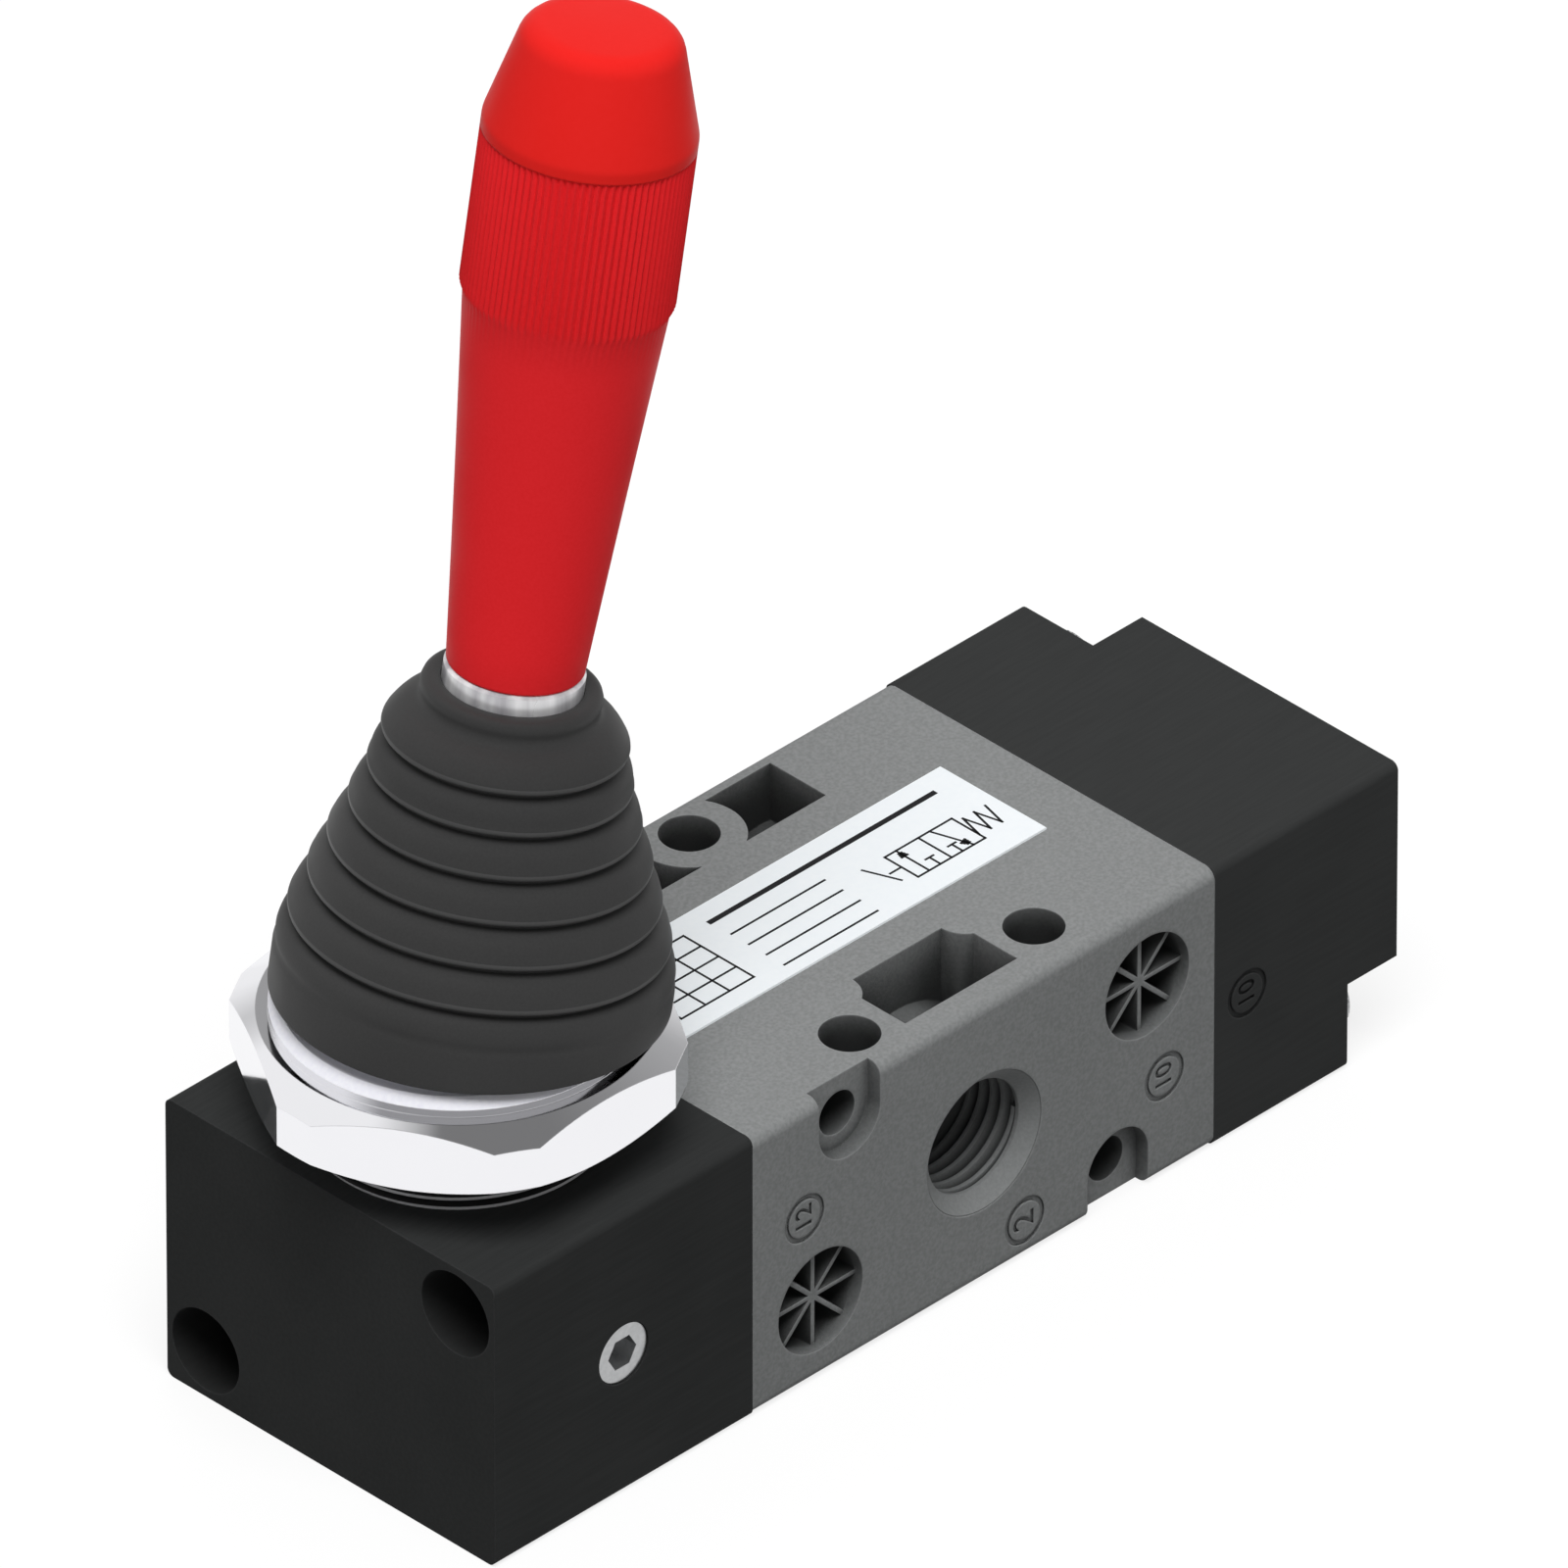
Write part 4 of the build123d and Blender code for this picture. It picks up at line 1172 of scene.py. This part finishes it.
@dataclass
class MarkedBlock:
    """A block of the valve with plain port numbers engraved in its front face."""

    node: str
    name: str
    finish: Finishes
    slot: str
    marks: tuple[Mark, ...]
    ring_radius: float = 2.45
    line: float = 0.5
    depth: float = 0.22
    boldness: float = 0.03
    room: float = 3.5
    digit_width: float = 0.62
    largest_digit: float = 3.6
    segments: int = 48

    def build(self) -> Piece:
        """Copy the node, merge its triangles and engrave the numbers.

        Returns:
            The finished block.
        """
        block = bpy.data.objects.new(self.name, frame["nodes"][self.node].data.copy())
        block.data.materials.clear()
        bpy.context.scene.collection.objects.link(block)
        edit(block)
        bpy.ops.mesh.remove_doubles(threshold=TOUCH)
        bpy.ops.mesh.customdata_custom_splitnormals_clear()
        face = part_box(self.node)[0].y
        self._refine(block, face)
        to_object_mode()
        for mark in self.marks:
            cut_away(block, self._cutter(mark, face))
        close_piece(block, self.finish, sharp=25.0)
        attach(block, "root")
        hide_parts(self.node)
        return block

    def _refine(self, block: Piece, face: float) -> None:
        """Leave the copied shape as it is."""

    def _cutter(self, mark: Mark, face: float) -> Piece:
        """Make the ring and digits that cut one mark, which reads from below upwards.

        Args:
            mark: the mark.
            face: where the front face lies along Y.

        Returns:
            The cutting tool.
        """
        quarter = pi / 2
        ring = turned("ring_tool", [(-self.depth, self.ring_radius - self.line),
                                    (-self.depth, self.ring_radius), (self.depth, self.ring_radius),
                                    (self.depth, self.ring_radius - self.line)],
                      ORIGIN, self.segments, hollow=True)
        to_object_mode()
        deselect()
        bpy.ops.object.text_add(location=(0, 0, 0))
        words = bpy.context.object
        words.data.body = mark.digits
        words.data.size = min(self.largest_digit, self.room / (self.digit_width * len(mark.digits))) * MM
        words.data.align_x = "CENTER"
        words.data.align_y = "CENTER"
        words.data.extrude = self.depth * MM
        words.data.offset = self.boldness * MM
        bpy.ops.object.convert(target="MESH")
        join(ring, words)
        ring.matrix_world = (Matrix.Translation((mark.x * MM, face, mark.z * MM))
                             @ Matrix.Rotation(quarter, 4, "X") @ Matrix.Rotation(quarter, 4, "Z"))
        edit(ring)
        bpy.ops.mesh.remove_doubles(threshold=TOUCH)
        face_outward()
        to_object_mode()
        bpy.ops.object.transform_apply(location=True, rotation=True, scale=True)
        return ring


@dataclass
class GreyBody(MarkedBlock):
    """The grey body, whose ribs in the two star recesses grow thinner towards their tops."""

    stars: tuple[Pair, ...] = ((-20.4, 8.3), (20.4, 21.7))
    star_radius: float = 5.25
    rib_drop: float = 1.0
    rib_half_width: float = 0.4
    rib_share: float = 0.575
    bars: int = 4
    hub_radius: float = 1.1
    near: float = 0.05

    def _refine(self, block: Piece, face: float) -> None:
        """Draw in the tops of the ribs and hubs.

        Args:
            block: the copied body in edit mode.
            face: where the front face lies along Y.
        """
        for x, z in self.stars:
            centre = Vector((x * MM, face + self.rib_drop * MM, z * MM))
            hub, rim = self.hub_radius + self.near, self.star_radius + self.near
            self._select_ring(block, centre, 0.0, hub, ORIGIN)
            bpy.ops.transform.resize(value=(self.rib_share, 1, self.rib_share), center_override=centre)
            for bar in range(self.bars):
                angle = pi * bar / self.bars
                across = Vector((-sin(angle), 0, cos(angle)))
                self._select_ring(block, centre, hub, rim, across)
                bpy.ops.transform.rotate(value=-angle, orient_axis="Y", center_override=centre)
                bpy.ops.transform.resize(value=(1, 1, self.rib_share), center_override=centre)
                bpy.ops.transform.rotate(value=angle, orient_axis="Y", center_override=centre)

    def _select_ring(self, block: Piece, centre: Vector, inner: float, outer: float,
                     across: Vector) -> None:
        """Select the vertices of a star's top between two radii, and on one bar.

        Args:
            block: the body in edit mode.
            centre: the middle of the star's top.
            inner: the least distance from it, in millimetres.
            outer: the greatest distance from it.
            across: the way across the bar, or no way at all to take every bar.
        """
        def wanted(place: Vector) -> bool:
            """Say whether a vertex is one of them."""
            off = (place - centre) / MM
            return (abs(off.y) < self.near and inner <= off.length < outer
                    and abs(off.dot(across)) < self.rib_half_width + self.near)

        select_vertices(block, wanted)


# How wide a thin line of the label's print is, in millimetres
THIN_LINE = 0.24


@dataclass
class Label:
    """The label: a punched film, printed with the symbol of a spring-return 3/2 valve and blank fields."""

    cut_slope: float = 0.04
    thickness: float = 0.012
    thick: float = 0.6
    symbol: Pair = (9.4, -2.9)
    square: float = 4.2
    spring_strokes: int = 5
    arrow: float = 0.55
    head_shares: tuple[float, ...] = (0.5, 0.75, 1.0)
    head_spread: float = 0.6
    head_line: float = 0.275
    field_rows: tuple[float, ...] = (2.6, 0.4, -1.8, -4.0)
    field_span: Pair = (-8.4, 3.2)
    title_row: float = 5.2
    title_span: Pair = (-8.4, 19.4)
    table_span: Pair = (-20.6, -11.6)
    table_rows: tuple[float, ...] = (5.4, 3.2, 1.0, -1.2, -3.4)
    table_columns: tuple[float, ...] = (-20.6, -17.6, -14.6, -11.6)

    def build(self) -> list[Piece]:
        """Make the film and its print.

        Returns:
            The film and the print.
        """
        return [self._film(), self._print()]

    def _film(self) -> Piece:
        """Make the film, whose punched edge slopes a little.

        Returns:
            The film.
        """
        low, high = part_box("label_plate")
        foot = Vector(((low.x + high.x) / 2, (low.y + high.y) / 2, low.z))
        size = high - low
        deselect()
        bpy.ops.mesh.primitive_plane_add(size=1, location=foot)
        film = settle("label_film_strip")
        bpy.ops.transform.resize(value=(size.x, size.y, 1), center_override=foot)
        bpy.ops.mesh.extrude_region_move(TRANSFORM_OT_translate={"value": (0, 0, size.z)})
        slope = 2 * self.cut_slope * MM
        bpy.ops.transform.resize(value=(1 - slope / size.x, 1 - slope / size.y, 1), center_override=foot)
        face_outward()
        close_piece(film, Finishes.LABEL_FILM)
        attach(film, "root")
        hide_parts("label_plate")
        return film

    def _print(self) -> Piece:
        """Draw all the lines as one thin print on the film.

        Returns:
            The print.
        """
        deselect()
        bpy.ops.mesh.primitive_plane_add(size=THIN_LINE * MM, location=self._point(*self.symbol))
        ink = settle("label_print")
        bpy.ops.mesh.delete(type="VERT")
        self._draw_symbol()
        self._stroke((self.title_span[0], self.title_row), (self.title_span[1], self.title_row), self.thick)
        for row in self.field_rows:
            self._stroke((self.field_span[0], row), (self.field_span[1], row))
        for row in self.table_rows:
            self._stroke((self.table_span[0], row), (self.table_span[1], row))
        for column in self.table_columns:
            self._stroke((column, self.table_rows[0]), (column, self.table_rows[-1]))
        face_outward()
        close_piece(ink, Finishes.LABEL_INK)
        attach(ink, "root")
        return ink

    def _point(self, x: float, y: float) -> Vector:
        """Return a point of the film's top face."""
        return Vector((x * MM, y * MM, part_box("label_plate")[1].z))

    def _stroke(self, start: Pair, end: Pair, width: float = THIN_LINE) -> None:
        """Print one straight line.

        Args:
            start: where it starts on the film.
            end: where it ends.
            width: how wide it is.
        """
        along = Vector(end) - Vector(start)
        middle = self._point(*((Vector(start) + Vector(end)) / 2))
        bpy.ops.mesh.select_all(action="DESELECT")
        bpy.ops.mesh.primitive_plane_add(size=width * MM, location=middle)
        bpy.ops.transform.resize(value=(along.length / width + 1, 1, 1), center_override=middle)
        bpy.ops.transform.rotate(value=-atan2(along.y, along.x), orient_axis="Z", center_override=middle)
        bpy.ops.mesh.extrude_region_move(TRANSFORM_OT_translate={"value": (0, 0, self.thickness * MM)})

    def _head(self, tip: Pair, back: Pair) -> None:
        """Print an arrow's head.

        Args:
            tip: where it points.
            back: a point that it comes from.
        """
        along = (Vector(tip) - Vector(back)).normalized()
        side = Vector((-along.y, along.x)) * self.arrow * self.head_spread
        root = Vector(tip) - along * 2 * self.arrow
        for share in self.head_shares:
            here = Vector(tip).lerp(root, share)
            self._stroke(tuple(here - side * share), tuple(here + side * share), self.head_line)

    def _draw_symbol(self) -> None:
        """Draw two squares with their paths, the lever and the spring."""
        left, bottom = self.symbol
        size = self.square
        top, middle, right = bottom + size, bottom + size / 2, left + 2 * size
        for start in (left, left + size, right):
            self._stroke((start, bottom), (start, top))
        for row in (bottom, top):
            self._stroke((left, row), (right, row))
        third = size / 3
        pressed, rest = left, left + size
        for start, end in (((pressed + third, bottom), (pressed + third, top)),
                           ((rest + third, top), (rest + 2 * third, bottom))):
            self._stroke(start, end)
            self._head(end, start)
        for column in (pressed + 2 * third, rest + third):
            stop = bottom + third
            self._stroke((column, bottom), (column, stop))
            self._stroke((column - third / 3, stop), (column + third / 3, stop))
        self._stroke((left, middle), (left - third, middle))
        self._stroke((left - third, middle - third), (left - 2 * third, top))
        low, high = middle - third, middle + third
        for stroke in range(self.spring_strokes):
            start, end = right + stroke * third / 2, right + (stroke + 1) * third / 2
            self._stroke((start, low), (end, high))
            low, high = high, low


@dataclass(frozen=True)
class Lamp:
    """A soft lamp far away: the side it shines from, and how bright it makes white that faces it."""

    name: str
    azimuth: float
    elevation: float
    level: float
    softness: float

    def hang(self) -> None:
        """Put the lamp in the scene. Metal mirrors the studio's walls and not the lamp itself."""
        light = bpy.data.lights.new(self.name, "SUN")
        light.energy = self.level * pi
        light.angle = radians(self.softness)
        holder = bpy.data.objects.new(self.name, light)
        flat = cos(radians(self.elevation))
        toward = Vector((flat * cos(radians(self.azimuth)), flat * sin(radians(self.azimuth)),
                         sin(radians(self.elevation))))
        holder.rotation_euler = toward.to_track_quat("Z", "Y").to_euler()
        holder.location = toward
        holder.visible_glossy = False
        bpy.context.scene.collection.objects.link(holder)


@dataclass
class Studio:
    """The pale floor, the soft lights and the camera of the photograph's isometric view."""

    photo_pixels: int = 1600
    pixels_per_mm: float = 11.6
    target: tuple[float, float, float] = (-4.46, 0.0, 45.72)
    view_from: tuple[float, float, float] = (-1.0, -1.0, 1.0)
    lens: float = 1200.0
    sensor: float = 36.0
    nearest: float = 0.1
    furthest: float = 20.0
    floor_size: float = 3.0
    floor_gap: float = 0.05
    floor_bounce: str = "#787878"
    floor_glow: float = 0.8
    ambient: float = 0.15
    glossy_sky: tuple[Pair, ...] = ((0.08, 0.95), (0.42, 0.42), (0.62, 0.34), (0.92, 0.2))
    softbox_level: float = 0.95
    softbox_side: tuple[float, float, float] = (-0.35, 0.62, 0.7)
    softbox_reach: Pair = (0.72, 0.9)
    lamps: tuple[Lamp, ...] = (
        Lamp("key_light", 228.0, 70.0, 0.86, 35.0),
        Lamp("camera_side_fill", 225.0, 12.0, 0.09, 50.0),
        Lamp("left_fill", 135.0, 15.0, 0.09, 60.0),
        Lamp("right_fill", 315.0, 15.0, 0.12, 60.0),
        Lamp("far_side_fill", 45.0, 30.0, 0.16, 60.0),
    )

    def build(self) -> None:
        """Build the floor, the world, the lights and the camera."""
        self._floor()
        self._world()
        for lamp in self.lamps:
            lamp.hang()
        self._camera()

    def _floor(self) -> None:
        """Lay a pale floor that the camera sees as white, with the valve's soft shadow on it."""
        deselect()
        bpy.ops.mesh.primitive_plane_add(size=self.floor_size, location=(0, 0, -self.floor_gap * MM))
        floor = bpy.context.object
        floor.name = "floor"
        paint = bpy.data.materials.new("pale_floor_paint")
        paint.use_nodes = True
        tree = paint.node_tree
        tree.nodes.clear()
        seen = self._seen(tree)
        shade = add_node(tree, "ShaderNodeMix", {
            0: seen, MIX_A: linear(self.floor_bounce), MIX_B: grey(1.0)}, data_type="RGBA")
        matt = add_node(tree, "ShaderNodeBsdfDiffuse", {"Color": shade.outputs[MIX_RESULT]})
        white = add_node(tree, "ShaderNodeEmission", {"Color": grey(1.0), "Strength": 1.0})
        share = add_node(tree, "ShaderNodeMath", {0: seen, 1: self.floor_glow}, operation="MULTIPLY")
        mixed = add_node(tree, "ShaderNodeMixShader", {0: share.outputs[0], 1: matt.outputs[0],
                                                       2: white.outputs[0]})
        add_node(tree, "ShaderNodeOutputMaterial", {"Surface": mixed.outputs[0]})
        floor.data.materials.append(paint)

    def _seen(self, tree: Tree) -> Socket:
        """Tell the rays from the camera, off metal and through glass from the rest.

        Args:
            tree: the nodes of the material that asks.

        Returns:
            1 for one of those rays, and 0 for the rest.
        """
        path = add_node(tree, "ShaderNodeLightPath")
        either = add_node(tree, "ShaderNodeMath", {
            0: path.outputs["Is Camera Ray"], 1: path.outputs["Is Glossy Ray"]}, operation="MAXIMUM")
        any_ray = add_node(tree, "ShaderNodeMath", {
            0: either.outputs[0], 1: path.outputs["Is Transmission Ray"]}, operation="MAXIMUM")
        return any_ray.outputs[0]

    def _world(self) -> None:
        """Light the scene evenly, show white to the camera, and a greyer sky to polished metal."""
        world = bpy.data.worlds.new("studio")
        bpy.context.scene.world = world
        world.use_nodes = True
        tree = world.node_tree
        tree.nodes.clear()
        direction = add_node(tree, "ShaderNodeTexCoord").outputs["Generated"]
        height = add_node(tree, "ShaderNodeSeparateXYZ", {0: direction}).outputs["Z"]
        sky = add_node(tree, "ShaderNodeValToRGB", {0: height})
        ramp = sky.color_ramp
        while len(ramp.elements) < len(self.glossy_sky):
            ramp.elements.new(1.0)
        for element, (position, level) in zip(ramp.elements, self.glossy_sky):
            element.position, element.color = position, grey(level)
        likeness = add_node(tree, "ShaderNodeVectorMath", {
            0: direction, 1: Vector(self.softbox_side).normalized()}, operation="DOT_PRODUCT")
        inside = add_node(tree, "ShaderNodeMapRange", {
            "Value": likeness.outputs["Value"], "From Min": self.softbox_reach[0],
            "From Max": self.softbox_reach[1], "To Min": 0.0, "To Max": 1.0})
        studio = add_node(tree, "ShaderNodeMix", {
            0: inside.outputs[0], MIX_A: sky.outputs[0], MIX_B: grey(self.softbox_level)},
            data_type="RGBA")
        path = add_node(tree, "ShaderNodeLightPath")
        glossy = add_node(tree, "ShaderNodeMix", {
            0: path.outputs["Is Glossy Ray"], MIX_A: grey(self.ambient),
            MIX_B: studio.outputs[MIX_RESULT]}, data_type="RGBA")
        seen = add_node(tree, "ShaderNodeMix", {
            0: path.outputs["Is Camera Ray"], MIX_A: glossy.outputs[MIX_RESULT], MIX_B: grey(1.0)},
            data_type="RGBA")
        background = add_node(tree, "ShaderNodeBackground", {
            "Color": seen.outputs[MIX_RESULT], "Strength": 1.0})
        add_node(tree, "ShaderNodeOutputWorld", {"Surface": background.outputs[0]})

    def _camera(self) -> None:
        """Set the long-lens camera that sees the valve as the isometric photograph does."""
        lens = bpy.data.cameras.new("photo_camera")
        lens.lens = self.lens
        lens.sensor_width = self.sensor
        lens.clip_start = self.nearest
        lens.clip_end = self.furthest
        width = self.photo_pixels / self.pixels_per_mm * MM
        distance = width * self.lens / self.sensor
        back = Vector(self.view_from).normalized()
        camera = bpy.data.objects.new("photo_camera", lens)
        camera.location = Vector(self.target) * MM + back * distance
        camera.rotation_euler = back.to_track_quat("Z", "Y").to_euler()
        bpy.context.scene.collection.objects.link(camera)
        bpy.context.scene.camera = camera


def dress_nodes() -> None:
    """Give every node of the frame its finish."""
    for finish, names in NODE_FINISHES.items():
        for name in names:
            node = frame["nodes"][name]
            if not node.material_slots:
                node.data.materials.append(None)
            for slot in node.material_slots:
                slot.material = finish.value.material()


def main() -> None:
    """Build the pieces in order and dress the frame."""
    logging.basicConfig(level=logging.INFO, format="%(name)s: %(message)s")
    bpy.context.scene.view_settings.view_transform = "Standard"
    dress_nodes()
    mechanism = Mechanism()
    pieces = [
        Knob().build(mechanism),
        Boot().build(mechanism),
        Collar().build(),
        PanelNut().build(),
        *PortThreads().build(),
        ReturnSpring().build(),
        SocketScrews("housing_screws", "housing_socket_screws", outward=-1, rising=False).build(),
        SocketScrews("end_cap_screws", "end_cap_socket_screws", outward=1, rising=True).build(),
        GreyBody("valve_body", "marked_valve_body", Finishes.BODY_GREY, "grey_anodised_body",
                 (Mark("12", -22.4, 18.2), Mark("10", 22.6, 10.8), Mark("2", 5.1, 4.0))).build(),
        MarkedBlock("end_cap", "marked_end_cap", Finishes.CAP_BLACK, "black_anodised_ends",
                    (Mark("10", 33.0, 14.6),)).build(),
        *Label().build(),
    ]
    for piece in pieces:
        log.info("%s: %d faces", piece.name, len(piece.data.polygons))
    Studio().build()


if __name__ == "__main__":
    main()
